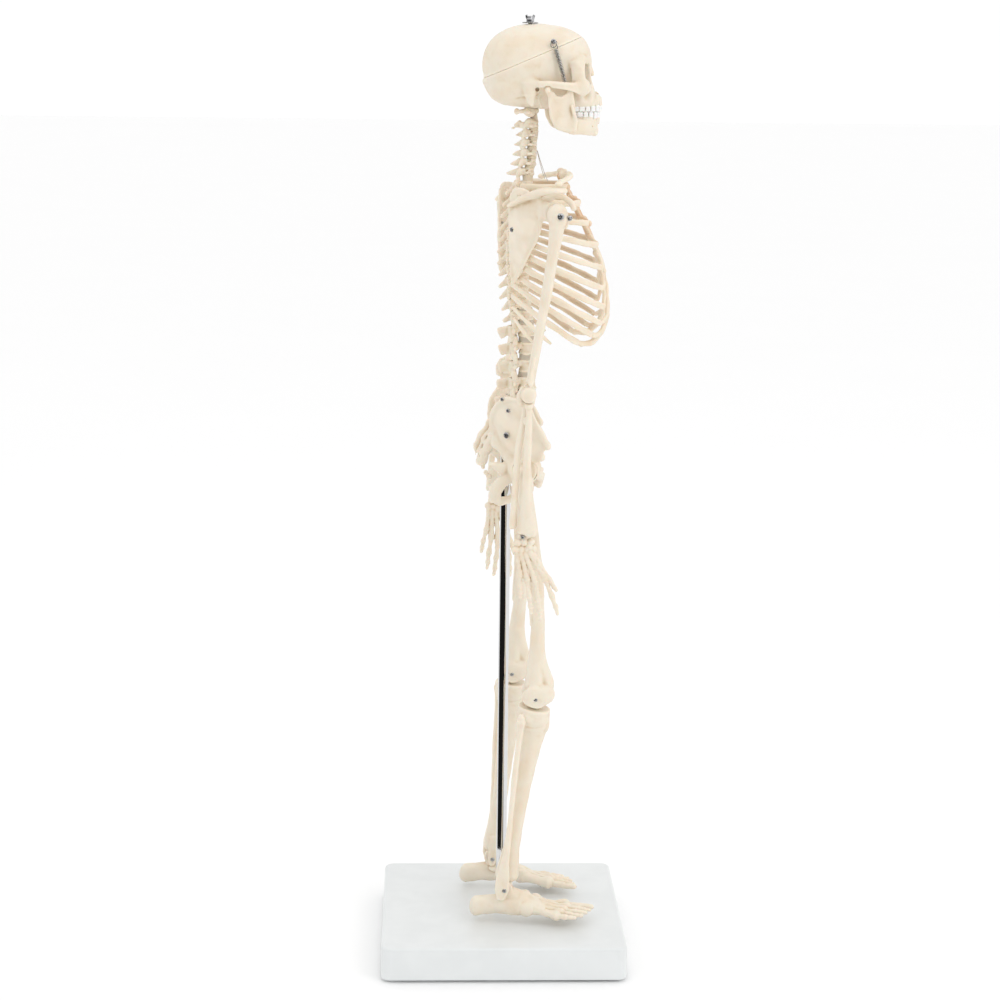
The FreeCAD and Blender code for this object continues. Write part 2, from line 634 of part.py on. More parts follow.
def make_skull():
    bolt_at = Vector(0, size("bolt_y"), 0)
    bolt_hole = "Sizes.bolt_radius + Sizes.running_gap"
    wall = "Sizes.skull_wall"
    jaw_centre = Vector(0, size("jaw_axis_y"), size("jaw_axis_z"))

    face_parts = [braincase("case_outer", "0"), loft("face", 1, "face_radius", FACE, X_AXIS, Z_AXIS),
                  loft("nose", 1, "jaw_radius", NOSE, X_AXIS),
                  loft("upper_teeth", RIGHT, "jaw_radius", both_sides(UPPER_TEETH), Z_AXIS)]
    for side in (RIGHT, LEFT):
        name = SIDE_NAME[side]
        face_parts.append(loft(name + "_cheek", side, "jaw_radius", CHEEK, Z_AXIS))
        face_parts.append(loft(name + "_mastoid", side, "jaw_radius", MASTOID, Y_AXIS))
    head = fuse("head_solid", face_parts)
    holes = [braincase("case_inner", wall),
             cylinder("skull_base_hole", bolt_hole, "60", bolt_at + Z_AXIS * 755),
             cross_pin("condyle_room", "Sizes.condyle_radius + Sizes.running_gap",
                       "2 * (Sizes.condyle_inner + Sizes.condyle_length)", jaw_centre,
                       2 * (size("condyle_inner") + size("condyle_length"))),
             ellipsoid("nose_opening", "4.5", "8", "6.5", Vector(0, -74, 787.5))]
    for side in (RIGHT, LEFT):
        eye = Vector(side * 16, -66, 796.5)
        holes.append(ball(SIDE_NAME[side] + "_orbit", "Sizes.orbit_radius", eye))
    hollow = cut("head_hollow", head, holes)
    node(common("Cranium", hollow, saw_block("below_saw", False, 0)), "cranium")

    shell = cut("cap_shell", braincase("cap_outer", "0"),
                [braincase("cap_inner", wall), cylinder("cap_hole", bolt_hole, "60", bolt_at + Z_AXIS * 800)])
    node(common("SkullCap", shell, saw_block("above_saw", True, size("cap_gap"))), "skull_cap")

    make_jaw(jaw_centre)
    make_skull_hardware(bolt_at, bolt_hole)


def make_jaw(jaw_centre):
    parts = [loft("jaw_body", RIGHT, "jaw_radius", both_sides(JAW_BODY), Z_AXIS),
             loft("lower_teeth", RIGHT, "jaw_radius", both_sides(LOWER_TEETH), Z_AXIS)]
    for side in (RIGHT, LEFT):
        name = SIDE_NAME[side]
        parts.append(loft(name + "_ramus", side, "jaw_radius", RAMUS, Y_AXIS))
        parts.append(loft(name + "_coronoid", side, "jaw_radius", CORONOID, Y_AXIS))
        start = jaw_centre + X_AXIS * (side * size("condyle_inner"))
        parts.append(cylinder(name + "_condyle", "Sizes.condyle_radius", "Sizes.condyle_length",
                              start, X_AXIS * side))
    node(fuse("Mandible", parts), "mandible")


def make_skull_hardware(bolt_at, bolt_hole):
    screws = []
    for side in (RIGHT, LEFT):
        name = SIDE_NAME[side]
        high, low = Vector(side * 34.2, -35.5, 820), Vector(side * 39, -43, 793)
        spring = cylinder(name.capitalize() + "Spring", "Sizes.spring_radius",
                          str((high - low).Length), low, high - low)
        node(spring, name + "_jaw_spring")
        skin = Vector(side * 29.2, -35.5, 823.5)
        screws.append(cylinder(name + "_temple_screw", "Sizes.small_screw_radius", "7",
                               skin, X_AXIS * side))
    node(cut("TempleScrews", group("temple_pair", screws), [braincase("temple_skin", "0")]),
         "temple_screws")
    washer = cylinder("washer_disc", "Sizes.washer_radius", "Sizes.washer_height",
                      bolt_at + Z_AXIS * size("washer_z"))
    hole = cylinder("washer_hole", bolt_hole, "6", bolt_at + Z_AXIS * (size("washer_z") - 2))
    node(cut("CapWasher", washer, [hole]), "cap_washer")
    nut_z = size("washer_z") + size("washer_height") + 0.1
    hub = add("Part::Cone", "nut_hub", Radius1="Sizes.nut_radius", Radius2="Sizes.nut_radius * 0.8",
              Height="Sizes.nut_height")
    hub.Placement.Base = bolt_at + Z_AXIS * nut_z
    wings = [loft(f"nut_wing_{i}", side, "nut_radius",
                  [(2, bolt_at.y, nut_z + 2.3, 0.6, 0.3), (6, bolt_at.y, nut_z + 4.4, 0.7, 0.22),
                   (9, bolt_at.y, nut_z + 5.4, 0.45, 0.2)], Z_AXIS)
             for i, side in enumerate((RIGHT, LEFT))]
    thread = cylinder("nut_thread", bolt_hole, "20", bolt_at + Z_AXIS * (nut_z - 5))
    node(cut("WingNut", fuse("nut_whole", [hub] + wings), [thread]), "wing_nut")


# ---- shoulder girdle -----------------------------------------------------------------

SHOULDER_Y = {RIGHT: -40.5, LEFT: -33}
CLAVICLE = [(16.5, -48, 710, 1.2, 1.1), (28, -52, 709.5, 0.9, 0.85), (44, -49, 708, 0.85, 0.8),
            (60, -42, 706, 0.9, 0.8), (72, -40, 704, 1.2, 0.8)]
# Blade outline in its own plane: distance outwards from the inner border, height.
BLADE = [(0, 672), (1, 692), (8, 699), (28, 698), (40, 690), (42, 674), (34, 656), (15, 626),
         (8, 621), (3, 628)]
BLADE_CORNER = Vector(-36.5, -0.5, 0)   # inner border, right side
BLADE_TURN = 38                         # blade's slant in plan, from straight outwards
RIDGE = [(40, -2, 686, 1.0, 0.5), (56, -13, 692, 1.3, 0.6), (69, -23, 697, 1.1, 0.8),
         (77, -31, 698.5, 0.9, 0.8), (78, -42, 698, 0.8, 0.6)]
CORACOID = [(64, -36, 689, 1.5, 1.3), (65, -45, 692, 1.2, 1.0), (68, -52, 688, 1.0, 0.8),
            (69.5, -53, 683, 1.0, 0.8)]
GLENOID = [(54, -14, 682, 2.2, 0.8), (64, -24, 682, 2.6, 1.6), (70.5, -32, 681, 3.2, 2.5),
           (77, -40, 680, 3.4, 2.7)]
GLENOID_FACE = 73.9                     # distance of its flat face from the middle plane


def make_blade(name):
    flat = doc.addObject("Part::Polygon", name + "_outline")
    across = Vector(-cos(radians(BLADE_TURN)), -sin(radians(BLADE_TURN)), 0)
    flat.Nodes = [BLADE_CORNER + across * out + Z_AXIS * z for out, z in BLADE]
    flat.Close = True
    blade = doc.addObject("Part::Extrusion", name)
    blade.Base = flat
    blade.Solid = True
    blade.DirMode = "Custom"
    blade.Dir = across.cross(Z_AXIS)
    blade.setExpression("LengthFwd", "Sizes.scapula_thickness / 2")
    blade.setExpression("LengthRev", "Sizes.scapula_thickness / 2")
    return blade


def make_girdle():
    blade = make_blade("scapula_blade")
    shoulder = Vector(RIGHT * size("shoulder_out"), SHOULDER_Y[RIGHT], size("shoulder_z"))
    glenoid = loft("glenoid", RIGHT, "scapula_ridge_radius", GLENOID, Z_AXIS)
    ridge = loft("scapula_ridge", RIGHT, "scapula_ridge_radius", RIDGE, Z_AXIS)
    coracoid = loft("coracoid", RIGHT, "scapula_ridge_radius", CORACOID, Z_AXIS)
    room = block("humerus_room", Vector(-110, -70, 650), Vector(-GLENOID_FACE, -20, 694))
    hole = cylinder("glenoid_hole", "Sizes.pivot_radius + Sizes.fixed_gap", "40",
                    shoulder, X_AXIS)
    bone = fuse("scapula_whole", [blade, glenoid, ridge, coracoid])
    right = cut("RightScapula", bone, [room, hole])
    node(right, "right_scapula")
    back = SHOULDER_Y[LEFT] - SHOULDER_Y[RIGHT]
    node(mirrored("LeftScapula", right), "left_scapula", Placement(Vector(0, back, 0), Rotation()))
    for side in (RIGHT, LEFT):
        shift = 0 if side == RIGHT else back
        reach = CLAVICLE[-1][0] - CLAVICLE[0][0]
        stations = [(out, y + shift * (out - CLAVICLE[0][0]) / reach, z, wide, thin)
                    for out, y, z, wide, thin in CLAVICLE]
        name = SIDE_NAME[side]
        node(loft(name.capitalize() + "Clavicle", side, "clavicle_radius", stations, Z_AXIS),
             name + "_clavicle")


# ---- arms ----------------------------------------------------------------------------

ELBOW = {RIGHT: Vector(-84, -15.5, 527), LEFT: Vector(84, -3, 528)}
WRIST = {RIGHT: Vector(-84, -12, 403), LEFT: Vector(84, 4, 404)}
HAND_TURN = {RIGHT: 0, LEFT: 15}
ARM_OUT = 5        # elbow's middle outwards of the shoulder pivot
HUMERUS = [(4, 1, -0.04, 1.2, 1.1), (5, 1, 0.06, 1.7, 1.5), (5, 0, 0.2, 1.15, 1.1),
           (5, 0, 0.5, 1.0, 0.95), (5, 0, 0.78, 1.15, 0.95), (5, 0, 0.9, 1.9, 1.0),
           (5, 0, 0.98, 2.5, 1.15)]
ULNA = [(4, 0, 0.035, 0.85, 0.8), (4, 1, 0.085, 1.0, 1.0), (3.5, 3.5, 0.2, 1.0, 0.95),
        (2.5, 5, 0.55, 0.85, 0.8), (1.5, 7, 0.85, 0.75, 0.7), (1.5, 8.2, 0.93, 0.9, 0.85)]
RADIUS = [(11.2, -0.5, 0.062, 1.15, 1.15), (11.2, -0.5, 0.1, 1.05, 1.05), (10, -1, 0.16, 0.8, 0.8),
          (8.5, -2.5, 0.5, 1.05, 0.9), (6, -2.5, 0.8, 1.3, 1.1), (5, -1.5, 0.92, 1.9, 1.5),
          (5, -1, 1.0, 2.2, 1.6)]
PALM = [(5, -1, -3.5, 1.1, 0.8), (5, -3, -10, 2.3, 1.0), (5, -7, -22, 3.0, 0.95),
        (5, -10, -34, 3.6, 0.9), (5, -12, -40, 3.8, 0.8)]
# Fingers: where each leaves the palm (y, z) and its tip (y, z), thumb first.
FINGERS = [((-6, -9), (-32, -53)), ((-23, -36), (-31, -70)), ((-15, -39), (-17, -72)),
           ((-8, -38), (-9, -67)), ((-1.5, -35), (0.5, -54))]


def make_arm(side):
    name = SIDE_NAME[side]
    shoulder = Vector(side * size("shoulder_out"), SHOULDER_Y[side], size("shoulder_z"))
    upper = between(shoulder, ELBOW[side])
    elbow_at = Vector(side * ARM_OUT, 0, -size("humerus_length"))
    elbow = upper.multVec(elbow_at - X_AXIS * (side * ARM_OUT))
    lower = between(elbow, WRIST[side])
    wrist_at = Vector(side * ARM_OUT, 0, -size("forearm_length"))
    pivot = "Sizes.pivot_radius + Sizes.running_gap"
    pin_hole = "Sizes.arm_pin_radius + Sizes.running_gap"

    shaft = loft(name + "_humerus_shaft", side, "humerus_radius",
                 fraction("humerus_length", HUMERUS), X_AXIS, Z_AXIS)
    head = ball(name + "_humerus_head", "Sizes.humerus_head_radius", Vector(0, 2.5, 1))
    trochlea = cross_pin(name + "_trochlea", "Sizes.elbow_radius", "Sizes.elbow_width", elbow_at,
                         size("elbow_width"))
    half_slot = size("elbow_slot") / 2
    slot = block(name + "_elbow_slot", elbow_at + Vector(-half_slot - side, -20, -20),
                 elbow_at + Vector(half_slot - side, 20, size("elbow_radius") + 1))
    bores = [cross_pin(name + "_humerus_bore", pivot, "60", ORIGIN, 60),
             cross_pin(name + "_elbow_bore", "Sizes.arm_pin_radius + Sizes.fixed_gap", "60", elbow_at, 60)]
    node(cut(name.capitalize() + "Humerus", fuse(name + "_humerus_whole", [shaft, head, trochlea]),
             [slot] + bores), name + "_humerus", upper)
    pin = cross_pin(name.capitalize() + "ElbowPin", "Sizes.arm_pin_radius",
                    "Sizes.elbow_width + 1", elbow_at, size("elbow_width") + 1)
    node(pin, name + "_elbow_pin", upper.multiply(pin.Placement))

    make_forearm(side, lower, wrist_at, pin_hole)
    make_hand(side, lower.multVec(wrist_at))


def make_forearm(side, lower, wrist_at, pin_hole):
    name = SIDE_NAME[side]
    shaft = loft(name + "_ulna_shaft", side, "forearm_radius",
                 fraction("forearm_length", ULNA), X_AXIS, Z_AXIS)
    tongue_at = Vector(side * (ARM_OUT - 1), 0, 0)
    tongue = cross_pin(name + "_ulna_tongue", "Sizes.elbow_radius - 0.4", "Sizes.elbow_slot - 0.6",
                       tongue_at, size("elbow_slot") - 0.6)
    bore = cross_pin(name + "_ulna_bore", pin_hole, "40", tongue_at, 40)
    node(cut(name.capitalize() + "Ulna", fuse(name + "_ulna_whole", [shaft, tongue]), [bore]),
         name + "_ulna", lower)

    shaft = loft(name + "_radius_shaft", side, "forearm_radius",
                 fraction("forearm_length", RADIUS), Y_AXIS, Z_AXIS)
    fork = cross_pin(name + "_wrist_fork", "4.6", "10", wrist_at, 10)
    half_slot = size("wrist_slot") / 2
    slot = block(name + "_wrist_slot", wrist_at + Vector(-half_slot, -15, -12),
                 wrist_at + Vector(half_slot, 15, 5.4))
    bore = cross_pin(name + "_radius_bore", "Sizes.arm_pin_radius + Sizes.fixed_gap", "40", wrist_at, 40)
    node(cut(name.capitalize() + "Radius", fuse(name + "_radius_whole", [shaft, fork]), [slot, bore]),
         name + "_radius", lower)
    pin = cross_pin(name.capitalize() + "WristPin", "Sizes.arm_pin_radius", "12", wrist_at, 12)
    node(pin, name + "_wrist_pin", lower.multiply(pin.Placement))


def make_hand(side, wrist):
    name = SIDE_NAME[side]
    place = turned(X_AXIS, HAND_TURN[side], Vector(side * size("shoulder_out"), wrist.y, wrist.z))
    joint_at = Vector(side * ARM_OUT, 0, 0)
    palm = loft(name + "_palm", side, "hand_radius", [s for s in PALM if s[2] < -8], Y_AXIS, Z_AXIS)
    width = size("wrist_slot") - 0.4
    knuckle = cross_pin(name + "_wrist_tongue", "4.4", str(width), joint_at, width)
    neck = block(name + "_wrist_neck", joint_at + Vector(-width / 2, -5, -12),
                 joint_at + Vector(width / 2, 3, 0))
    fingers = []
    for i, ((y0, z0), (y1, z1)) in enumerate(FINGERS):
        stations = [(5, y0 + (y1 - y0) * t, z0 + (z1 - z0) * t, thick, thick * 0.9)
                    for t, thick in ((0, 1.2), (0.35, 0.85), (0.7, 0.9), (1, 0.6))]
        fingers.append(loft(f"{name}_finger_{i}", side, "finger_radius", stations, Y_AXIS))
    bore = cross_pin(name + "_hand_bore", "Sizes.arm_pin_radius + Sizes.running_gap", "40", joint_at, 40)
    whole = fuse(name + "_hand_whole", [palm, knuckle, neck] + fingers)
    node(cut(name.capitalize() + "Hand", whole, [bore]), name + "_hand", place)


# ---- legs ----------------------------------------------------------------------------

KNEE = {RIGHT: Vector(-43, -27, 247), LEFT: Vector(43, -9, 247)}
ANKLE = {RIGHT: Vector(-43, -1, 64), LEFT: Vector(43, 7, 64)}
FOOT_TURN = {RIGHT: 5, LEFT: -10}      # toes outwards, degrees
FEMUR = [(15.5, 3, -0.02, 0.9, 0.8), (16.5, 2, 0.05, 1.25, 1.15), (15, 0, 0.12, 1.35, 1.2),
         (11, -4, 0.28, 1.05, 1.0), (7, -6.5, 0.5, 1.0, 0.97), (3, -5, 0.72, 1.15, 1.05),
         (1, -2.5, 0.87, 1.9, 1.35), (0, -0.5, 0.97, 2.7, 1.6)]
FEMUR_NECK = [(3, 0, 0.0, 1.1, 1.05), (9, 0, 0.015, 1.0, 0.95), (16, 1, 0.05, 1.2, 1.1)]
TIBIA = [(0, 0.5, 0.07, 2.8, 2.1), (0, 0.5, 0.11, 2.5, 2.0), (-0.5, -1, 0.2, 1.45, 1.4),
         (-1, -1.5, 0.4, 1.1, 1.1), (-1, -1, 0.65, 0.9, 0.85), (-1, -0.5, 0.82, 1.0, 0.95),
         (-1.4, 0, 0.93, 1.3, 1.2), (-1.4, 0, 0.945, 1.3, 1.2)]
MALLEOLUS = [(-8, 0, 0.88, 0.6, 0.5), (-9.6, 0, 0.95, 0.65, 0.35), (-9.8, 0, 1.0, 0.6, 0.33),
             (-9.8, 0, 1.04, 0.4, 0.3)]
FIBULA = [(17, 9.5, 0.1, 1.0, 0.9), (17, 9.5, 0.13, 1.7, 1.4), (15.5, 9, 0.19, 1.1, 1.0),
          (13, 6.5, 0.5, 0.95, 0.9), (11, 3, 0.8, 1.0, 0.9), (9.8, 0.5, 0.93, 1.7, 0.8),
          (9.8, 0, 1.0, 1.6, 0.8), (9.8, 0, 1.04, 1.0, 0.7)]
# Foot from the heel to the ball: (out, forwards, height under the ankle, wide, thin).
FOOT = [(0, 27, -16.5, 0.5, 0.45), (0, 21, -15.5, 0.92, 0.9), (0, 8, -14.5, 0.95, 0.9),
        (0, -8, -13, 1.0, 0.85), (1, -26, -16, 1.35, 0.75), (1.5, -44, -19.5, 1.6, 0.5),
        (1.5, -56, -21.5, 1.75, 0.33)]
# Toes, great toe first: (out, length, thickness).
TOES = [(-12.5, 82, 1.5), (-4, 81, 1.0), (3, 78, 0.95), (9.5, 74, 0.95), (15.5, 69, 0.95)]


def make_leg(side):
    name = SIDE_NAME[side]
    hip = Vector(side * size("hip_out"), size("hip_y"), size("hip_z"))
    thigh = between(hip, KNEE[side])
    knee_at = Vector(0, 0, -size("femur_length"))
    shank = between(thigh.multVec(knee_at), ANKLE[side])
    ankle_at = Vector(0, 0, -size("tibia_length"))
    pivot = "Sizes.pivot_radius + Sizes.running_gap"
    fixed_pin = "Sizes.leg_pin_radius + Sizes.fixed_gap"

    parts = [loft(name + "_femur_shaft", side, "femur_radius", fraction("femur_length", FEMUR),
                  X_AXIS, Z_AXIS),
             loft(name + "_femur_neck", side, "femur_radius",
                  fraction("femur_length", FEMUR_NECK), Y_AXIS, X_AXIS),
             ball(name + "_femur_head", "Sizes.hip_head_radius", ORIGIN),
             ellipsoid(name + "_patella", "7.5", "4.5", "8.5", knee_at + Vector(0, -13, 8)),
             cross_pin(name + "_condyles", "Sizes.knee_radius", "Sizes.knee_width", knee_at,
                       size("knee_width"))]
    half_slot = size("knee_slot") / 2
    slot = block(name + "_knee_slot", knee_at + Vector(-half_slot, -9.6, -30),
                 knee_at + Vector(half_slot, 30, 9.6))
    bores = [cross_pin(name + "_femur_bore", pivot, "90", ORIGIN, 90),
             cross_pin(name + "_knee_bore", fixed_pin, "60", knee_at, 60)]
    node(cut(name.capitalize() + "Femur", fuse(name + "_femur_whole", parts), [slot] + bores),
         name + "_femur", thigh)
    pin = cross_pin(name.capitalize() + "KneePin", "Sizes.leg_pin_radius", "Sizes.knee_width + 1",
                    knee_at, size("knee_width") + 1)
    node(pin, name + "_knee_pin", thigh.multiply(pin.Placement))

    make_shank(side, shank, ankle_at)
    make_foot(side, shank.multVec(ankle_at))


def make_shank(side, shank, ankle_at):
    name = SIDE_NAME[side]
    bone = loft(name + "_tibia_shaft", side, "tibia_radius", fraction("tibia_length", TIBIA),
                X_AXIS, Z_AXIS)
    ankle_bump = loft(name + "_inner_ankle", side, "tibia_radius",
                      fraction("tibia_length", MALLEOLUS), Y_AXIS, Z_AXIS)
    width = size("knee_slot") - 0.6
    tongue = cross_pin(name + "_knee_tongue", "9", str(width), ORIGIN, width)
    neck = block(name + "_knee_neck", Vector(-width / 2, -7, -16), Vector(width / 2, 7, 0))
    tight = "Sizes.leg_pin_radius + Sizes.fixed_gap"
    loose = "Sizes.leg_pin_radius + Sizes.running_gap"
    bores = [cross_pin(name + "_tibia_bore", loose, "60", ORIGIN, 60),
             cross_pin(name + "_tibia_ankle_bore", tight, "40", ankle_at, 40)]
    whole = fuse(name + "_tibia_whole", [bone, ankle_bump, tongue, neck])
    node(cut(name.capitalize() + "Tibia", whole, bores), name + "_tibia", shank)

    bone = loft(name + "_fibula_shaft", LEFT, "fibula_radius", fraction("tibia_length", FIBULA),
                Y_AXIS, Z_AXIS)
    if side == RIGHT:
        bone = mirrored(name + "_fibula_mirrored", bone)
    bore = cross_pin(name + "_fibula_bore", tight, "40", ankle_at, 40)
    node(cut(name.capitalize() + "Fibula", bone, [bore]), name + "_fibula", shank)
    pin = cross_pin(name.capitalize() + "AnklePin", "Sizes.leg_pin_radius", "24", ankle_at, 24)
    node(pin, name + "_ankle_pin", shank.multiply(pin.Placement))


def make_foot(side, ankle):
    name = SIDE_NAME[side]
    sole = loft(name + "_foot_arch", side, "foot_radius", FOOT, X_AXIS, Y_AXIS)
    toes = []
    for i, (out, length, thick) in enumerate(TOES):
        stations = [(out * 0.9 + 1, -50, -21, thick, thick * 0.8),
                    (out, -50 - (length - 50) / 2, -21.2, thick, thick * 0.8),
                    (out, -length, -20, thick * 0.7, thick * 0.6)]
        toes.append(loft(f"{name}_toe_{i}", side, "toe_radius", stations, X_AXIS, Y_AXIS))
    sole_and_toes = fuse(name + "_foot_sole", [sole] + toes)
    sole_and_toes.Placement = turned(Z_AXIS, side * FOOT_TURN[side])
    width = size("ankle_width")
    dome = cross_pin(name + "_talus", "Sizes.ankle_radius", "Sizes.ankle_width", ORIGIN, width)
    core = block(name + "_talus_neck", Vector(-width / 2, -6.5, -14), Vector(width / 2, 6.5, 0))
    sides = [block(f"{name}_ankle_room_{i}", Vector(x0, -7, -8.6), Vector(x1, 7, 12))
             for i, (x0, x1) in enumerate(((-16, -width / 2), (width / 2, 16)))]
    room = cross_pin(name + "_shank_room", "11", "40", ORIGIN, 40)
    trimmed = cut(name + "_foot_trimmed", sole_and_toes, [room])
    bore = cross_pin(name + "_foot_bore", "Sizes.leg_pin_radius + Sizes.running_gap", "60", ORIGIN, 60)
    whole = fuse(name + "_foot_whole", [trimmed, dome, core])
    node(cut(name.capitalize() + "Foot", whole, [bore] + sides), name + "_foot",
         Placement(Vector(side * size("hip_out"), ankle.y, ankle.z), Rotation()))


# ---- screws --------------------------------------------------------------------------

def screw(name, radius, head, tip, heading, length):
    """A domed screw: its shank runs from tip against heading, and its head sits at the end."""
    shank = cylinder(name + "_shank", radius, str(length), tip, heading)
    dome = cylinder(name + "_head", head, "2", tip + heading * length, heading)
    return fuse(name, [shank, dome])


def make_screws():
    outward = {RIGHT: -X_AXIS, LEFT: X_AXIS}
    for side in (RIGHT, LEFT):
        name = SIDE_NAME[side]
        tip = Vector(side * 68, SHOULDER_Y[side], size("shoulder_z"))
        node(screw(name.capitalize() + "ShoulderScrew", "Sizes.pivot_radius",
                   "Sizes.screw_head_radius", tip, outward[side], 29), name + "_shoulder_screw")
        tip = Vector(side * 28, size("hip_y"), size("hip_z"))
        node(screw(name.capitalize() + "HipScrew", "Sizes.pivot_radius",
                   "Sizes.screw_head_radius", tip, outward[side], 41), name + "_hip_screw")
    small, dome = "Sizes.small_screw_radius", "Sizes.small_screw_radius * 2"
    pelvis = [screw(f"pelvis_screw_{side}_{i}", small, dome, Vector(side * 58.5, y, z), outward[side], 2)
              for side in (RIGHT, LEFT) for i, (y, z) in enumerate(((-4, 507), (0, 486)))]
    node(group("PelvisScrews", pelvis), "pelvis_screws")
    back = SHOULDER_Y[LEFT] - SHOULDER_Y[RIGHT]
    blade = [screw(f"scapula_screw_{side}", small, dome,
                   Vector(side * 48, -6.5 + (back if side == LEFT else 0), 664), outward[side], 4)
             for side in (RIGHT, LEFT)]
    node(group("ScapulaScrews", blade), "scapula_screws")


# ---- whole model ---------------------------------------------------------------------

def export():
    doc.recompute()
    broken = [o.Name for o in doc.Objects if "Invalid" in o.State or "Error" in o.State]
    if broken:
        raise RuntimeError(f"objects that failed: {broken}")
    bad = [n.Label for n in nodes if n.Shape.isNull() or not n.Shape.isValid()]
    if bad:
        raise RuntimeError(f"sub-parts with a bad shape: {bad}")
    os.makedirs("parts", exist_ok=True)
    for thing in nodes:
        thing.Shape.exportStep(f"parts/{thing.Label}.step")
        print(f"{thing.Label}: {len(thing.Shape.Solids)} solids, {thing.Shape.Volume:.0f} mm3")


make_stand()
make_spine()
make_sacrum()
make_hip_bones()
make_front(make_ribs())
make_skull()
make_girdle()
for body_side in (RIGHT, LEFT):
    make_arm(body_side)
    make_leg(body_side)
make_screws()
export()
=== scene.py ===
import json
from math import asin, atan2, cos, pi, radians, sin, sqrt

import bpy
import numpy as np
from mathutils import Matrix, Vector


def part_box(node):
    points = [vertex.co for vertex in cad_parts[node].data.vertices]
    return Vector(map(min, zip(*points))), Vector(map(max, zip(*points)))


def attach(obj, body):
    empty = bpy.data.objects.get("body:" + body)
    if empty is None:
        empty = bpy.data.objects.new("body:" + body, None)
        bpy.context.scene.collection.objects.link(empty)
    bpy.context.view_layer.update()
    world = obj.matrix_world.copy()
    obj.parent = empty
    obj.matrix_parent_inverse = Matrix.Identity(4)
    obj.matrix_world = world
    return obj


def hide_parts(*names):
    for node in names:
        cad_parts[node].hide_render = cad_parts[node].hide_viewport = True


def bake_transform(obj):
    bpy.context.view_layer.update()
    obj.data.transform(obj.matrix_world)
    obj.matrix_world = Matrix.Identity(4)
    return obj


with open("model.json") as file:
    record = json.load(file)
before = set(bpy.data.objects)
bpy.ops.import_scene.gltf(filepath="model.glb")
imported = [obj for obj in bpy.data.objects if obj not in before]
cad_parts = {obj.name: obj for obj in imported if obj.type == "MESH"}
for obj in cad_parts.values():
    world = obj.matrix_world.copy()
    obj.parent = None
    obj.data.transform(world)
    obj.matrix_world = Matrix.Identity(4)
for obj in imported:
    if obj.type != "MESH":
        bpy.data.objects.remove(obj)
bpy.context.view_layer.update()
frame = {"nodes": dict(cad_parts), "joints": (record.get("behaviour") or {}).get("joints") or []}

import openvdb
from mathutils import Matrix, Vector

# A half-size human skeleton on a stand. Every bone is grown as a solid of signed
# distances on a grid, in millimetres and in the CAD's frame, and then skinned. Paired
# bones are grown for the left side (+X) and mirrored for the right one.

MM = 0.001
FAR = 8.0            # the distance held by cells that no shape has reached
LEFT, RIGHT = 1, -1
SIDES = {"left": LEFT, "right": RIGHT}
STEP = 0.8           # grid spacing of the large bones
THIN_STEP = 0.7      # of ribs and collar bones
FOOT_STEP = 0.65
FINE = 0.6           # of the skull, jaw, vertebrae and discs
HAND_STEP = 0.55
TOOTH_STEP = 0.45
NUT_STEP = 0.28
METAL_STEP = 0.26    # of pins and the washer
SCREW_STEP = 0.24
QUICK = 1.0
ACROSS, AHEAD = (1, 0, 0), (0, 1, 0) # directions of the first half size of a tube's stations
SMOOTHING = (0.5, -0.52)             # a step towards the neighbours' mean, and one back
WAVES = 5            # waves that add up to an uneven surface
RIM_WIDTH = 7.0      # how far in from its outline a plate is fully thinned


# ---- solids on a grid ------------------------------------------------------------------

def unit(v):
    v = np.asarray(v, float)
    return v / np.linalg.norm(v)


def soft_min(a, b, soft):
    if soft <= 0:
        return np.minimum(a, b)
    near = np.maximum(soft - np.abs(a - b), 0) / soft
    return np.minimum(a, b) - near * near * soft / 4


def round_distance(terms, sizes):
    """Distance to an ellipse or ellipsoid from coordinates along its axes."""
    k0 = np.sqrt(sum((t / s) ** 2 for t, s in zip(terms, sizes))) + 1e-6
    k1 = np.sqrt(sum((t / (s * s)) ** 2 for t, s in zip(terms, sizes))) + 1e-6
    return k0 * (k0 - 1) / k1


def segment_distance(x, y, z, first, second, wide):
    """Distance to one length of bar between two elliptical stations."""
    a, b = np.array(first[:3], float), np.array(second[:3], float)
    length = np.linalg.norm(b - a)
    axis = (b - a) / length
    w = np.array(wide, float) - axis * np.dot(wide, axis)
    w = unit(w) if np.linalg.norm(w) > 1e-3 else unit(np.cross(axis, (0.3, 1, 0.2)))
    n = np.cross(axis, w)
    p = (x - a[0], y - a[1], z - a[2])
    along = sum(axis[i] * p[i] for i in range(3))
    t = np.clip(along / length, 0, 1)
    beyond = along - t * length
    u = sum(w[i] * p[i] for i in range(3))
    v = sum(n[i] * p[i] for i in range(3))
    half_wide = first[3] + (second[3] - first[3]) * t
    half_thin = first[4] + (second[4] - first[4]) * t
    return round_distance((u, v, beyond), (half_wide, half_thin, np.minimum(half_wide, half_thin)))


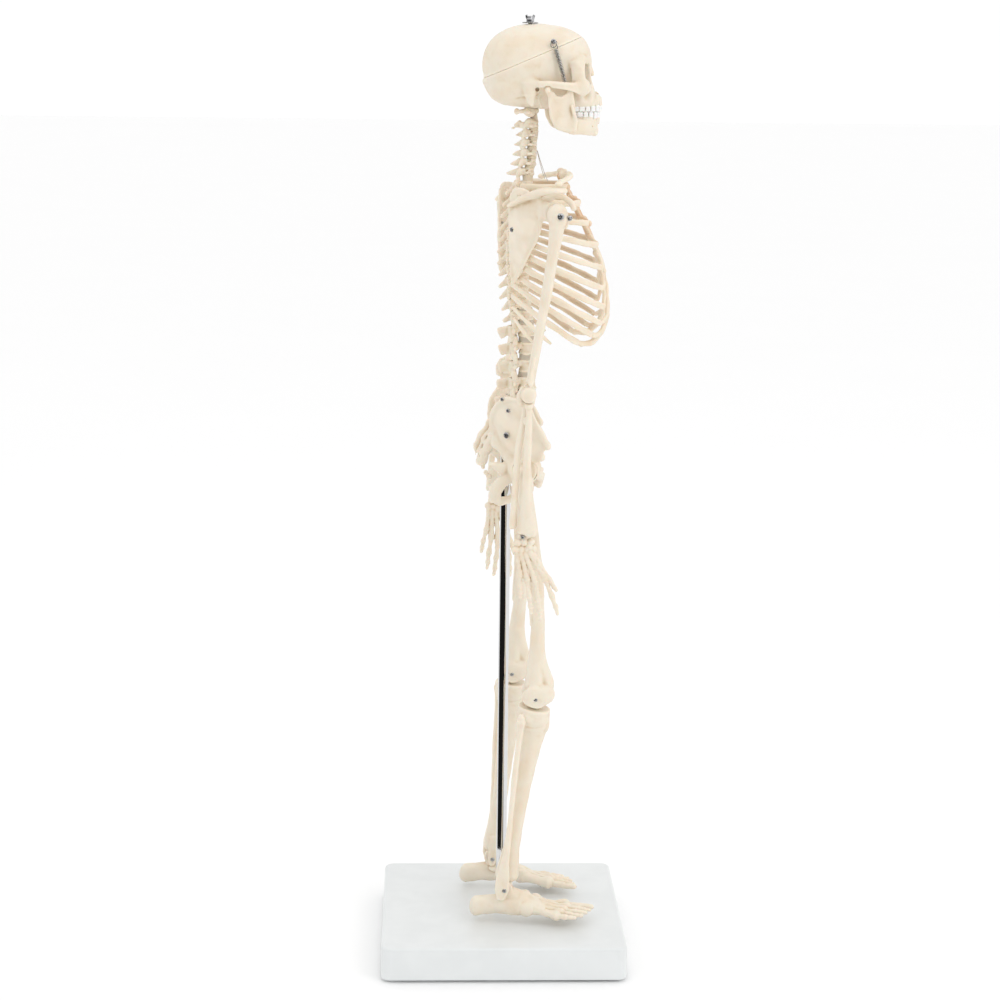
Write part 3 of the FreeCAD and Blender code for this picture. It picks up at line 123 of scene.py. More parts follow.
class Form:
    """A solid as signed distances on a grid. A halved form holds only the +X half of a
    symmetrical one."""

    def __init__(self, low, high, step=STEP, halved=False):
        self.step = step * QUICK
        self.low = np.array(low, float)
        if halved:
            self.low[0] = 0.0
        count = np.ceil((np.array(high, float) - self.low) / self.step).astype(int) + 1
        self.d = np.full(count, FAR, np.float32)
        self.halved = halved

    def window(self, low, high, pad):
        """The cells of a box, and their coordinates."""
        spans = []
        for i in range(3):
            first = int(np.floor((low[i] - pad - self.low[i]) / self.step))
            last = int(np.ceil((high[i] + pad - self.low[i]) / self.step)) + 1
            size = self.d.shape[i]
            spans.append((min(max(first, 0), size), min(max(last, 0), size)))
        axes = [(self.low[i] + self.step * np.arange(a, b)).astype(np.float32)
                for i, (a, b) in enumerate(spans)]
        key = tuple(slice(a, b) for a, b in spans)
        return key, (axes[0][:, None, None], axes[1][None, :, None], axes[2][None, None, :])

    def merge(self, key, new, soft, cut):
        old = self.d[key]
        self.d[key] = -soft_min(-old, new, soft) if cut else soft_min(old, new, soft)
        return self

    def apply(self, low, high, distance, soft, cut):
        key, (x, y, z) = self.window(low, high, soft + 3 * self.step)
        return self.merge(key, distance(x, y, z), soft, cut) if self.d[key].size else self

    def egg(self, centre, halves, turn=None, soft=0.0, cut=False):
        """An ellipsoid. turn is the rotation from its own axes to the frame's."""
        c, reach = np.array(centre, float), max(halves)
        rows = np.array((turn or Matrix.Identity(3)).transposed())

        def distance(x, y, z):
            p = (x - c[0], y - c[1], z - c[2])
            terms = [sum(r[i] * p[i] for i in range(3)) for r in rows]
            return round_distance(terms, halves)
        return self.apply(c - reach, c + reach, distance, soft, cut)

    def slab(self, centre, halves, turn=None, edge=0.6, soft=0.0, cut=False):
        """A box with rounded edges."""
        c, reach = np.array(centre, float), float(np.linalg.norm(halves))
        rows = np.array((turn or Matrix.Identity(3)).transposed())

        def distance(x, y, z):
            p = (x - c[0], y - c[1], z - c[2])
            q = [np.abs(sum(r[i] * p[i] for i in range(3))) - (h - edge)
                 for r, h in zip(rows, halves)]
            outside = np.sqrt(sum(np.maximum(t, 0) ** 2 for t in q))
            return outside + np.minimum(np.maximum(np.maximum(q[0], q[1]), q[2]), 0) - edge
        return self.apply(c - reach, c + reach, distance, soft, cut)

    def drum(self, start, end, radius, edge=0.6, soft=0.0, cut=False, squeeze=1.0):
        """A cylinder with rounded rims. squeeze scales its radius across X."""
        a, b = np.array(start, float), np.array(end, float)
        axis, half = unit(b - a), np.linalg.norm(b - a) / 2
        c = (a + b) / 2
        reach = half + radius * max(1, squeeze)

        def distance(x, y, z):
            p = (x - c[0], y - c[1], z - c[2])
            along = sum(axis[i] * p[i] for i in range(3))
            off = [p[i] - along * axis[i] for i in range(3)]
            radial = np.sqrt((off[0] / squeeze) ** 2 + off[1] ** 2 + off[2] ** 2)
            q0, q1 = radial - (radius - edge), np.abs(along) - (half - edge)
            outside = np.sqrt(np.maximum(q0, 0) ** 2 + np.maximum(q1, 0) ** 2)
            return outside + np.minimum(np.maximum(q0, q1), 0) - edge
        return self.apply(c - reach, c + reach, distance, soft, cut)

    def tube(self, stations, wide=(0, 0, 1), soft=0.0, cut=False):
        """A bar through ellipses (x, y, z, half size along wide, half size across it).
        With four numbers in a station, it is round."""
        rows = [tuple(s) if len(s) == 5 else tuple(s) + (s[3],) for s in stations]
        centres = np.array([r[:3] for r in rows], float)
        reach = max(max(r[3:]) for r in rows)
        pad = soft + 3 * self.step
        whole, _ = self.window(centres.min(0) - reach, centres.max(0) + reach, pad)
        new = np.full(self.d.shape, FAR, np.float32)[whole]
        for first, second in zip(rows, rows[1:]):
            a, b = np.array(first[:3], float), np.array(second[:3], float)
            key, (x, y, z) = self.window(np.minimum(a, b) - reach, np.maximum(a, b) + reach, pad)
            if not self.d[key].size:
                continue
            part = tuple(slice(k.start - w.start, k.stop - w.start) for k, w in zip(key, whole))
            gap = segment_distance(x, y, z, first, second, wide)
            new[part] = np.minimum(new[part], gap)
        return self.merge(whole, new, soft, cut)

    def plate(self, origin, along, up, outline, thick, bulge=0.0, soft=0.0, cut=False, thin=0.0):
        """A plate with a polygon outline in the plane of along and up. Its middle bulges
        sideways by bulge, and thin is how much thinner its middle is than its rim."""
        o, e1, e2 = np.array(origin, float), unit(along), unit(up)
        n = np.cross(e1, e2)
        poly = np.array(outline, float)
        corners = o + poly[:, :1] * e1 + poly[:, 1:] * e2
        pad = thick + abs(bulge)
        middle = poly.mean(0)
        span = np.abs(poly - middle).max(0)

        def distance(x, y, z):
            p = (x - o[0], y - o[1], z - o[2])
            u = sum(e1[i] * p[i] for i in range(3))
            v = sum(e2[i] * p[i] for i in range(3))
            w = sum(n[i] * p[i] for i in range(3))
            flat = polygon_distance(u, v, poly)
            spread = ((u - middle[0]) / span[0]) ** 2 + ((v - middle[1]) / span[1]) ** 2
            w = w - bulge * np.maximum(1 - spread, 0)
            half = thick - thin * np.clip(-flat / RIM_WIDTH, 0, 1)
            side = np.abs(w) - half
            outside = np.sqrt(np.maximum(flat + half, 0) ** 2 + np.maximum(side + half, 0) ** 2)
            return outside - half + np.minimum(np.maximum(flat + half, side + half), 0)
        return self.apply(corners.min(0) - pad, corners.max(0) + pad, distance, soft, cut)

    def below(self, point, normal):
        """Keeps what lies on the side of a plane that its normal points away from."""
        n = unit(normal)
        axes = [self.low[i] + self.step * np.arange(self.d.shape[i]) for i in range(3)]
        gap = ((axes[0][:, None, None] - point[0]) * n[0]
               + (axes[1][None, :, None] - point[1]) * n[1]
               + (axes[2][None, None, :] - point[2]) * n[2])
        self.d = np.maximum(self.d, gap.astype(np.float32))
        return self

    def wobble(self, height, length, seed):
        """Makes the surface slightly uneven."""
        dice = np.random.default_rng(seed)
        axes = [self.low[i] + self.step * np.arange(self.d.shape[i]) for i in range(3)]
        for _ in range(WAVES):
            k = dice.normal(size=3)
            k *= 2 * pi / length * dice.uniform(0.6, 1.5) / np.linalg.norm(k)
            shift = dice.uniform(0, 2 * pi)
            wave = np.sin(axes[0][:, None, None] * k[0] + axes[1][None, :, None] * k[1]
                          + axes[2][None, None, :] * k[2] + shift)
            self.d += (height / 2 * wave).astype(np.float32)
        return self

    def copy(self):
        twin = Form.__new__(Form)
        twin.step, twin.low, twin.halved = self.step, self.low.copy(), self.halved
        twin.d = self.d.copy()
        return twin

    def skin(self, relax=3, reach=2.6):
        """Points, four-sided faces and how hollow the surface is at each point, 0 to 1."""
        d, low = self.d, self.low.copy()
        if self.halved:
            d = np.concatenate([d[:0:-1], d])
            low[0] = -self.step * (self.d.shape[0] - 1)
        d = np.pad(d, 1, constant_values=FAR)
        low = low - self.step
        grid = openvdb.FloatGrid(FAR)
        grid.copyFromArray(np.ascontiguousarray(d))
        points, faces = grid.convertToQuads(0.0)
        points = points.astype(np.float64)
        hollow = sample(blur((d < 0).astype(np.float32), max(1, round(reach / self.step))), points)
        for push in SMOOTHING * relax:
            points += push * (neighbour_mean(points, faces) - points)
        corners = points[faces]
        turn = np.cross(corners[:, 1] - corners[:, 0], corners[:, 2] - corners[:, 0])
        if (turn * corners[:, 0]).sum() < 0:
            faces = faces[:, ::-1]
        return points * self.step + low, faces, hollow


def polygon_distance(u, v, poly):
    """Signed distance in a plane to a closed outline."""
    best, inside = None, None
    for (ax, ay), (bx, by) in zip(poly, np.roll(poly, -1, 0)):
        ex, ey = bx - ax, by - ay
        t = np.clip(((u - ax) * ex + (v - ay) * ey) / (ex * ex + ey * ey), 0, 1)
        gap = (u - ax - t * ex) ** 2 + (v - ay - t * ey) ** 2
        best = gap if best is None else np.minimum(best, gap)
        crossed = ((ay > v) != (by > v)) & (u < ex * (v - ay) / (ey if ey else 1e-9) + ax)
        inside = crossed if inside is None else inside ^ crossed
    return np.sqrt(best) * np.where(inside, -1, 1)


def blur(values, reach):
    """Mean over a cube of cells."""
    for axis in range(3):
        padded = np.pad(values, [(reach + 1, reach) if i == axis else (0, 0) for i in range(3)],
                        mode="edge")
        total = np.cumsum(padded, axis=axis, dtype=np.float32)
        count = values.shape[axis]
        high = np.take(total, np.arange(2 * reach + 1, 2 * reach + 1 + count), axis=axis)
        lower = np.take(total, np.arange(count), axis=axis)
        values = (high - lower) / (2 * reach + 1)
    return values


def sample(values, points):
    """Values of a grid at points between its cells."""
    top = np.array(values.shape) - 2
    cell = np.clip(np.floor(points).astype(int), 0, top)
    part = points - cell
    total = 0
    for corner in range(8):
        step = np.array([corner & 1, corner >> 1 & 1, corner >> 2 & 1])
        weight = np.prod(np.where(step, part, 1 - part), axis=1)
        i, j, k = (cell + step).T
        total = total + weight * values[i, j, k]
    return total


def neighbour_mean(points, faces):
    a = faces.ravel()
    b = np.roll(faces, -1, axis=1).ravel()
    ends, others = np.concatenate([a, b]), np.concatenate([b, a])
    count = np.maximum(np.bincount(ends, minlength=len(points)), 1)
    return np.stack([np.bincount(ends, points[others, i], len(points)) / count
                     for i in range(3)], axis=1)


def fast_mesh(name, points, faces, hollow=None):
    """A smooth-shaded mesh from millimetre points and equal-sided faces."""
    mesh = bpy.data.meshes.new(name)
    sides = faces.shape[1]
    mesh.vertices.add(len(points))
    mesh.vertices.foreach_set("co", (points * MM).astype(np.float32).ravel())
    mesh.loops.add(faces.size)
    mesh.loops.foreach_set("vertex_index", faces.astype(np.int32).ravel())
    mesh.polygons.add(len(faces))
    mesh.polygons.foreach_set("loop_start", np.arange(0, faces.size, sides, dtype=np.int32))
    mesh.polygons.foreach_set("use_smooth", np.ones(len(faces), bool))
    mesh.update(calc_edges=True)
    mesh.validate()
    layer = mesh.attributes.new("hollow", "FLOAT", "POINT")
    values = np.full(len(points), 0.5) if hollow is None else hollow
    layer.data.foreach_set("value", values.astype(np.float32))
    return mesh


def add_object(name, data):
    thing = bpy.data.objects.new(name, data)
    bpy.context.scene.collection.objects.link(thing)
    return thing


def add_piece(name, mesh, body, material, nodes=()):
    """A piece that rides on a body. Without one, it is left unattached."""
    piece = add_object(name, mesh)
    mesh.materials.append(material)
    if body:
        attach(piece, body)
    if nodes:
        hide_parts(*nodes)
    return piece


def grow(name, skin, body, material, nodes=(), side=LEFT, place=None):
    """A piece from a form's skin, mirrored for the right side, and then placed."""
    points, faces, hollow = skin
    points = points.copy()
    if side == RIGHT:
        points[:, 0] *= -1
        faces = faces[:, ::-1]
    if place is not None:
        m = np.array(place)
        points = points @ m[:3, :3].T + m[:3, 3]
    add_piece(name, fast_mesh(name, points, faces, hollow), body, material, nodes)


def grow_pair(name, skin, material, node):
    """A left and a right piece of the trunk from one skin. Braces stand for the side."""
    for side_name, side in SIDES.items():
        grow(name.format(side_name), skin, "trunk", material, [node.format(side_name)], side)


def grow_limb(side_name, bones):
    """A limb's bones: the name, body, CAD node, skin and placement of each."""
    for name, body, node, skin, place in bones:
        grow(f"{side_name}_{name}", skin, f"{side_name}_{body}", BONE,
             [f"{side_name}_{node}"], SIDES[side_name], place)


def joint_at(name):
    """A joint's rest position in millimetres."""
    joint = next(j for j in frame["joints"] if j["name"] == name)
    return Vector(joint["pos_m"]) / MM


def spin(axis, angle):
    """A rotation by an angle in degrees."""
    return Matrix.Rotation(radians(angle), 3, axis)


def placed(point, axis, angle):
    """A placement: a turn in degrees about an axis, and then a shift."""
    return Matrix.Translation(point) @ Matrix.Rotation(radians(angle), 4, axis)


# ---- finishes --------------------------------------------------------------------------

MIX_COLOUR_INPUTS, MIX_COLOUR_OUTPUT = (0, 6, 7), 2      # share, first and second colour


class Nodes:
    """Short-hand for a material's node tree."""

    def __init__(self, name):
        self.material = bpy.data.materials.new(name)
        self.material.use_nodes = True
        self.tree = self.material.node_tree
        self.shader = next(n for n in self.tree.nodes if n.type == "BSDF_PRINCIPLED")
        self.place = self.new("ShaderNodeTexCoord").outputs["Object"]

    def feed(self, socket, value):
        """Links an output to an input, or sets the input's value."""
        if isinstance(value, bpy.types.NodeSocket):
            self.tree.links.new(value, socket)
        else:
            socket.default_value = value

    def fill(self, node, inputs):
        for name, value in inputs.items():
            self.feed(node.inputs[name.replace("_", " ")], value)
        return node

    def new(self, kind, **inputs):
        return self.fill(self.tree.nodes.new(kind), inputs)

    def shade(self, **inputs):
        self.fill(self.shader, inputs)
        return self.material

    def noise(self, size_mm, detail=3.0, place=None, rough=0.55):
        """Noise whose features are about size_mm across."""
        node = self.new("ShaderNodeTexNoise", Scale=1 / (size_mm * MM), Detail=detail,
                        Roughness=rough, Vector=place or self.place)
        return node.outputs["Fac"]

    def span(self, value, low, high, to_low=0.0, to_high=1.0):
        """Maps low..high onto to_low..to_high smoothly and holds beyond them."""
        node = self.new("ShaderNodeMapRange", Value=value, From_Min=low, From_Max=high,
                        To_Min=to_low, To_Max=to_high)
        node.interpolation_type = "SMOOTHSTEP"
        return node.outputs["Result"]

    def mix(self, share, first, second):
        """A colour between two."""
        node = self.new("ShaderNodeMix")
        node.data_type = "RGBA"
        colours = [c if isinstance(c, bpy.types.NodeSocket) else (*c, 1) for c in (first, second)]
        for index, value in zip(MIX_COLOUR_INPUTS, (share, *colours)):
            self.feed(node.inputs[index], value)
        return node.outputs[MIX_COLOUR_OUTPUT]

    def operate(self, kind, operation, values):
        node = self.new(kind)
        node.operation = operation
        for socket, value in zip(node.inputs, values):
            self.feed(socket, value)
        return node.outputs

    def vector(self, operation, *values, result="Vector"):
        return self.operate("ShaderNodeVectorMath", operation, values)[result]

    def math(self, operation, *values):
        return self.operate("ShaderNodeMath", operation, values)["Value"]

    def bump(self, height, strength, distance_mm):
        node = self.new("ShaderNodeBump", Height=height, Strength=strength,
                        Distance=distance_mm * MM)
        return node.outputs["Normal"]


TAN = (0.64, 0.32, 0.11)             # the orange over the upper breast: painted glow of light shining through the thin plastic
TAN_HEIGHTS = (0.640, 0.672)         # metres: where it begins and where it is full
CAGE_MIDDLE_Y = -32                  # the middle of the rib cage
RIM_SHADE_FACTORS = (0.86, 0.78, 0.66)          # painted shade: the warm colour darkened at the rim of a hollow
# the first lightens the pale colour on the crowns as a painted highlight; the second dulls the
# metal's random smears
HIGHLIGHT_FACTORS, DULLER = (1.12,) * 3, (0.9,) * 3


def tinted(colour, factors):
    return tuple(min(1, part * factor) for part, factor in zip(colour, factors))


def bone_finish(name, pale, warm, stain_and_shade, hollow_shade, tan=0.0, inner=0.0):
    """PVC bone: pale, with a painted highlight on the crowns and a warm brown painted shade in the
    hollows.
    """
    n = Nodes(name)
    attribute = n.new("ShaderNodeAttribute")
    attribute.attribute_name = "hollow"
    hollow = attribute.outputs["Fac"]
    broad, patch, grain = n.noise(26, 2), n.noise(7, 4), n.noise(1.1, 5)
    # painted shade: the hollows, made patchy by noise, darken to the rim colour and then to the
    # dark brown
    patchy_shade_mask = n.math("ADD", hollow, n.math("MULTIPLY", n.math("SUBTRACT", patch, 0.5), 0.22))
    colour = n.mix(n.span(broad, 0.42, 0.68), pale, warm)
    colour = n.mix(n.span(grain, 0.55, 0.8, 0, 0.1), colour, stain_and_shade)
    colour = n.mix(n.span(patchy_shade_mask, 0.47, 0.60, 0, 0.55), colour, tinted(warm, RIM_SHADE_FACTORS))
    colour = n.mix(n.span(patchy_shade_mask, 0.56, 0.76, 0, hollow_shade), colour, stain_and_shade)
    if inner:
        # painted shade: faces turned towards the cage's middle darken towards the dark brown
        outwards = n.vector("SUBTRACT", n.place, (0, CAGE_MIDDLE_Y * MM, 0))
        outwards = n.vector("MULTIPLY", outwards, (1 / MM, 1 / MM, 0))
        normal = n.new("ShaderNodeNewGeometry").outputs["Normal"]
        facing = n.vector("DOT_PRODUCT", outwards, normal, result="Value")
        colour = n.mix(n.span(facing, -8, -26, 0, inner), colour, stain_and_shade)
    if tan:
        # painted glow: light through the thin plastic, as orange that grows towards the top
        parts = n.new("ShaderNodeSeparateXYZ", Vector=n.place)
        high = n.span(parts.outputs["Z"], *TAN_HEIGHTS, 0, tan)
        colour = n.mix(n.math("MULTIPLY", high, n.span(patch, 0.3, 0.6, 0.35, 1)), colour, TAN)
    # painted highlight: the crowns, away from any hollow, are made paler
    crown_highlight = n.span(hollow, 0.46, 0.3, 0, 0.5)
    colour = n.mix(crown_highlight, colour, tinted(pale, HIGHLIGHT_FACTORS))
    pits = n.math("ADD", n.math("MULTIPLY", grain, 0.5), n.noise(3.2, 3))
    return n.shade(Base_Color=colour, Roughness=n.span(patch, 0.3, 0.7, 0.38, 0.52),
                   Normal=n.bump(pits, 0.35, 0.25), Subsurface_Weight=0.12,
                   Subsurface_Scale=1.6 * MM, IOR=1.47)


def metal_finish(name, colour, roughness, brushed_mm, dents):
    n = Nodes(name)
    smear = n.noise(5, 3)
    low, high = roughness
    normal = n.bump(n.noise(brushed_mm, 4), dents, 0.1)
    return n.shade(Base_Color=n.mix(smear, colour, tinted(colour, DULLER)), Metallic=1.0,
                   Roughness=n.span(smear, 0.3, 0.7, low, high), Normal=normal)


def plastic_finish(name, colour, second, roughness, grain_mm, strength):
    n = Nodes(name)
    cloud = n.noise(30, 2)
    grain = n.noise(grain_mm, 3)
    return n.shade(Base_Color=n.mix(n.span(cloud, 0.35, 0.65), colour, second),
                   Roughness=n.span(n.noise(12, 3), 0.3, 0.7, roughness, roughness + 0.08),
                   Normal=n.bump(grain, strength, 0.12))


# pale, warm and dark brown colours, and how strongly the dark brown fills the hollows as painted
# shade; the dark brown also speckles the grain
RIB_COLOURS_AND_SHADE = ((0.83, 0.74, 0.60), (0.80, 0.67, 0.50), (0.46, 0.26, 0.11), 0.8)
BONE = bone_finish("bone_with_painted_shade", (0.83, 0.75, 0.62), (0.81, 0.70, 0.55), (0.46, 0.28, 0.13), 0.75)
# the ribs also get painted shade on their faces towards the cage's middle
RIB_BONE = bone_finish("rib_with_painted_shade", *RIB_COLOURS_AND_SHADE, inner=0.42)
# the cartilages and the breastbone also get the painted glow over the upper breast
GRISTLE = bone_finish("cartilage_with_painted_glow_and_shade", (0.82, 0.72, 0.57), (0.77, 0.60, 0.42),
                      (0.52, 0.28, 0.11), 0.8, tan=1.0)
BREAST_BONE = bone_finish("breastbone_with_painted_glow_and_shade", *RIB_COLOURS_AND_SHADE, tan=0.85)
DISC = bone_finish("disc_with_painted_shade", (0.58, 0.52, 0.43), (0.50, 0.44, 0.35), (0.25, 0.20, 0.14), 0.8)
PALE_DISC = bone_finish("pale_disc_with_painted_shade", (0.74, 0.65, 0.50), (0.70, 0.58, 0.43),
                        (0.42, 0.27, 0.14), 0.9)
TEETH = bone_finish("tooth_enamel", (0.87, 0.87, 0.86), (0.84, 0.83, 0.79), (0.50, 0.46, 0.42), 0.5)
# colour, lowest and highest roughness, size in mm and strength of the unevenness
ZINC = metal_finish("zinc_plate", (0.54, 0.54, 0.55), (0.24, 0.38), 1.2, 0.12)
STEEL = metal_finish("spring_wire", (0.68, 0.66, 0.63), (0.2, 0.3), 0.5, 0.06)
CHROME = metal_finish("chrome_plate", (0.74, 0.74, 0.74), (0.03, 0.07), 9.0, 0.01)
# two colours, roughness, size in mm and strength of the grain
WHITE = plastic_finish("white_lacquer", (0.775, 0.795, 0.795), (0.75, 0.77, 0.77), 0.3, 0.9, 0.04)
RUBBER = plastic_finish("grey_rubber", (0.07, 0.07, 0.075), (0.1, 0.1, 0.1), 0.7, 0.6, 0.3)


# ---- skull -----------------------------------------------------------------------------

CASE = (0, -23, 803)                 # middle of the braincase
CASE_HALVES = (36.0, 45.7, 36.3)
CASE_WALL = 2.9
SAW_POINT = (0, -17, 809.2)          # the skull cap is sawn off along this plane
SAW_NORMAL = (0, sin(radians(23)), cos(radians(23)))
SAW_GAP = 0.1
BOLT_Y = -17
JAW_AXIS = (-31, 783)                # y, z of the hinge
TEETH_ROW = [(1.95, -79.6), (5.8, -78.4), (9.7, -75.8), (13.0, -71.8), (15.3, -67.0),
             (17.2, -61.7), (18.7, -56.2), (19.9, -51.2)]
CROWN_HALVES = [(1.98, 1.5, 2.8), (1.88, 1.4, 2.6), (2.1, 1.7, 2.8), (2.1, 1.9, 2.5),
                (2.1, 2.0, 2.4), (2.6, 2.5, 2.3), (2.6, 2.5, 2.2), (2.3, 2.3, 2.1)]
BITE = 764.4                         # height where the teeth meet
BITE_GAP = 0.15                      # from there to each row
FIRST_MOLAR = 5                      # counted from the middle, as 0


def outer_case(form):
    """The braincase: broad and full behind, narrower at the forehead."""
    form.egg(CASE, CASE_HALVES)
    form.egg((0, -45, 812), (29.0, 24.2, 22), soft=8)
    form.egg((9, -5, 806), (25.5, 27.4, 28), soft=8)
    form.egg((15, -2, 784), (14, 20, 14), soft=8)
    form.egg((0, -1.5, 786.5), (23, 21.5, 16.5), soft=7)
    form.tube([(0, 21, 789, 2.2), (0, 14, 777, 1.6), (0, 4, 771.5, 1.2)], soft=4)
    form.tube([(4, 20.5, 789, 1.6), (16, 16, 789, 1.8), (27, 5, 787.5, 1.6)], soft=4)


def grow_skull():
    skull = Form((0, -84, 760), (46, 25, 841), FINE, halved=True)
    outer_case(skull)
    # temporal hollow behind the eye socket
    skull.egg((38.5, -49.5, 797), (9.5, 10.0, 17), soft=5, cut=True)
    skull.egg((35.0, -50.0, 786), (9.5, 7.5, 9), soft=4, cut=True)
    # brow
    skull.tube([(0, -66.2, 806.5, 3.4), (6, -66.5, 806.5, 3.2), (14, -65.5, 808, 2.6),
                (23, -61.5, 808, 2.5), (30.5, -56.5, 804.5, 2.6)], soft=4)
    # cheekbone, its post to the brow and its arch to the ear
    skull.egg((26, -62, 785.0), (7.6, 6.6, 8.2), spin("Z", 25), soft=4)
    skull.tube([(31.0, -58.6, 786, 6.6, 2.6), (32.2, -57.6, 792, 6.0, 2.3),
                (32.2, -57.2, 797, 5.8, 2.2), (31.2, -57.0, 801, 6.0, 2.4),
                (28.6, -56.8, 805.5, 6.2, 2.8), (24.5, -56.8, 809.5, 5.4, 2.6)], AHEAD, soft=4)
    skull.tube([(28, -61.5, 784.6, 6.2, 3.2), (33, -58, 784.8, 5.4, 2.4),
                (38.2, -52, 785.6, 4.0, 1.7), (41.0, -45, 786.6, 3.2, 1.4),
                (41.9, -38, 787.4, 2.9, 1.4), (41.0, -31, 787.8, 2.9, 1.8),
                (37.6, -25, 787.6, 3.2, 2.6), (33.0, -20, 787.5, 3.6, 3.0)], soft=2.5)
    # upper jaw
    skull.egg((12, -61, 781), (13, 12.5, 13.5), soft=4)
    skull.tube([(19.2, -52, 773.5, 5.4, 3.2), (16.8, -61, 773.5, 5.4, 3.2),
                (14.2, -68.5, 773.7, 5.4, 3.2), (9.2, -74.6, 774, 5.2, 2.8),
                (3.5, -77.4, 774.2, 5.0, 2.4), (-3.5, -77.4, 774.2, 5.0, 2.4)], soft=3)
    skull.tube([(0, -73.6, 781.4, 1.4), (0, -77.4, 780.0, 0.8)], soft=2)
    for x, y in TEETH_ROW:
        skull.tube([(x, y + 0.6, 776.4, 1.3), (x * 1.01, y + 0.1, 769.8, 1.5)], soft=1.0)
    # nose bones and the walls beside the nose
    skull.tube([(0, -67.6, 804, 3.0, 3.6), (0, -69.8, 800.3, 2.6, 3.2),
                (0, -71.6, 796.8, 2.0, 2.4)], AHEAD, soft=2)
    skull.tube([(3.5, -66.8, 803, 3.0), (5.6, -67.8, 797, 2.6), (7.6, -68.8, 790, 2.3),
                (8.6, -70.0, 784, 2.3), (7.0, -72.8, 778, 2.6)], soft=3)
    # eye sockets, nose opening and cheek hollow
    skull.egg((17.6, -64.5, 796.3), (10.2, 15.5, 8.6), spin("Z", -22), soft=1.6, cut=True)
    skull.egg((15.5, -56, 796.8), (7.0, 13, 6.2), spin("Z", -26), soft=1.5, cut=True)
    skull.egg((0, -68, 789.0), (3.4, 14, 5.6), soft=1.0, cut=True)
    skull.egg((3.0, -68, 784.2), (2.9, 14, 3.8), soft=1.0, cut=True)
    skull.tube([(0, -62, 792, 5.5, 0.45), (0, -63, 780, 5.5, 0.45)], AHEAD, soft=0.6)
    skull.egg((23.5, -67.5, 776.5), (4.5, 4.0, 4.5), soft=3.5, cut=True)
    skull.drum((15.4, -74, 783.4), (15.4, -66, 783.4), 0.8, 0.2, soft=0.5, cut=True)
    skull.drum((15.8, -72, 805.6), (15.8, -62, 805.6), 0.6, 0.2, soft=0.5, cut=True)
    # rear of the mouth, palate and the wings behind it
    skull.egg((0, -60, 765.2), (12.6, 15.0, 6.0), soft=1.5, cut=True)
    skull.tube([(9.5, -50, 780, 5, 1.2), (9.2, -47.5, 771, 3, 1.0)], (0, 1, 0.2), soft=1.5)
    skull.tube([(5.0, -49, 780, 4, .9), (5.5, -47, 772, 2.4, .8)], (0, 1, 0.2), soft=1.5)
    # underside: joint rollers for the neck, the ear's bony knob and the styloid spike
    skull.tube([(0, -45, 777, 7, 5), (0, -30, 771.5, 6, 4.5)], ACROSS, soft=5)
    skull.egg((7.0, -19.5, 769.8), (4.0, 6.6, 2.6), spin("Z", 20), soft=3)
    skull.tube([(30.6, -17, 787, 6.0, 6.8), (31.8, -16.4, 779, 4.6, 5.2),
                (31.6, -17.2, 773, 2.6, 3.4), (31.0, -18.0, 770.3, 1.6, 2.0)], ACROSS, soft=4)
    skull.tube([(26, -24, 778, 1.3), (26.5, -26.5, 768, 0.6)], soft=1.5)
    skull.egg((26.5, -10.5, 773.5), (1.6, 7, 3), soft=2, cut=True)
    skull.wobble(0.15, 26, 3)
    # inside, bolt hole, jaw socket and ear opening
    inner = np.array(CASE) + (0, 0.5, 0.6)
    skull.egg(inner, [h - CASE_WALL for h in CASE_HALVES], soft=1, cut=True)
    skull.drum((0, BOLT_Y, 760), (0, BOLT_Y, 782), 2.3, 0.2, cut=True)
    skull.drum((34.8, *JAW_AXIS), (43.5, *JAW_AXIS), 3.6, 0.8, soft=0.8, cut=True)
    skull.drum((28, -22.3, 783.2), (46, -22.3, 783.2), 1.75, 0.3, soft=0.6, cut=True)
    skull.tube([(24.5, -57, 789.5, 2.8, 0.9), (27.5, -49, 783.5, 2.0, 0.7)], (0, 0.3, -1), soft=1,
               cut=True)

    cap = skull.copy()
    point, normal = np.array(SAW_POINT), np.array(SAW_NORMAL)
    skull.below(point - normal * SAW_GAP / 2, normal)
    cap.below(point + normal * SAW_GAP / 2, -normal)
    cap.drum((0, BOLT_Y, 830), (0, BOLT_Y, 845), 2.3, 0.2, cut=True)
    grow("skull", skull.skin(2), "skull", BONE, ["cranium"])
    grow("skull_cap_shell", cap.skin(2), "cap", BONE, ["skull_cap"])


def tooth_row(name, sign, rows, body):
    """One arch of sixteen crowns. sign is 1 for the upper row, -1 for the lower."""
    form = Form((0, -82, BITE - 8), (24, -45, BITE + 8), TOOTH_STEP, halved=True)
    for i, ((x, y), (wide, deep, tall)) in enumerate(zip(rows, CROWN_HALVES)):
        before, after = rows[i - 1] if i else (-x, y), rows[min(i + 1, len(rows) - 1)]
        turn = Matrix.Rotation(atan2(after[1] - before[1], after[0] - before[0]), 3, "Z")
        middle = BITE + sign * (tall + BITE_GAP)
        form.slab((x, y, middle), (wide * 1.03, deep * 0.9, tall), turn, 1.0)
        if i >= FIRST_MOLAR:
            form.egg((x, y, BITE), (0.6, 1.9, 0.9), turn, soft=0.5, cut=True)
    grow(name, form.skin(1, 1.4), body, TEETH)


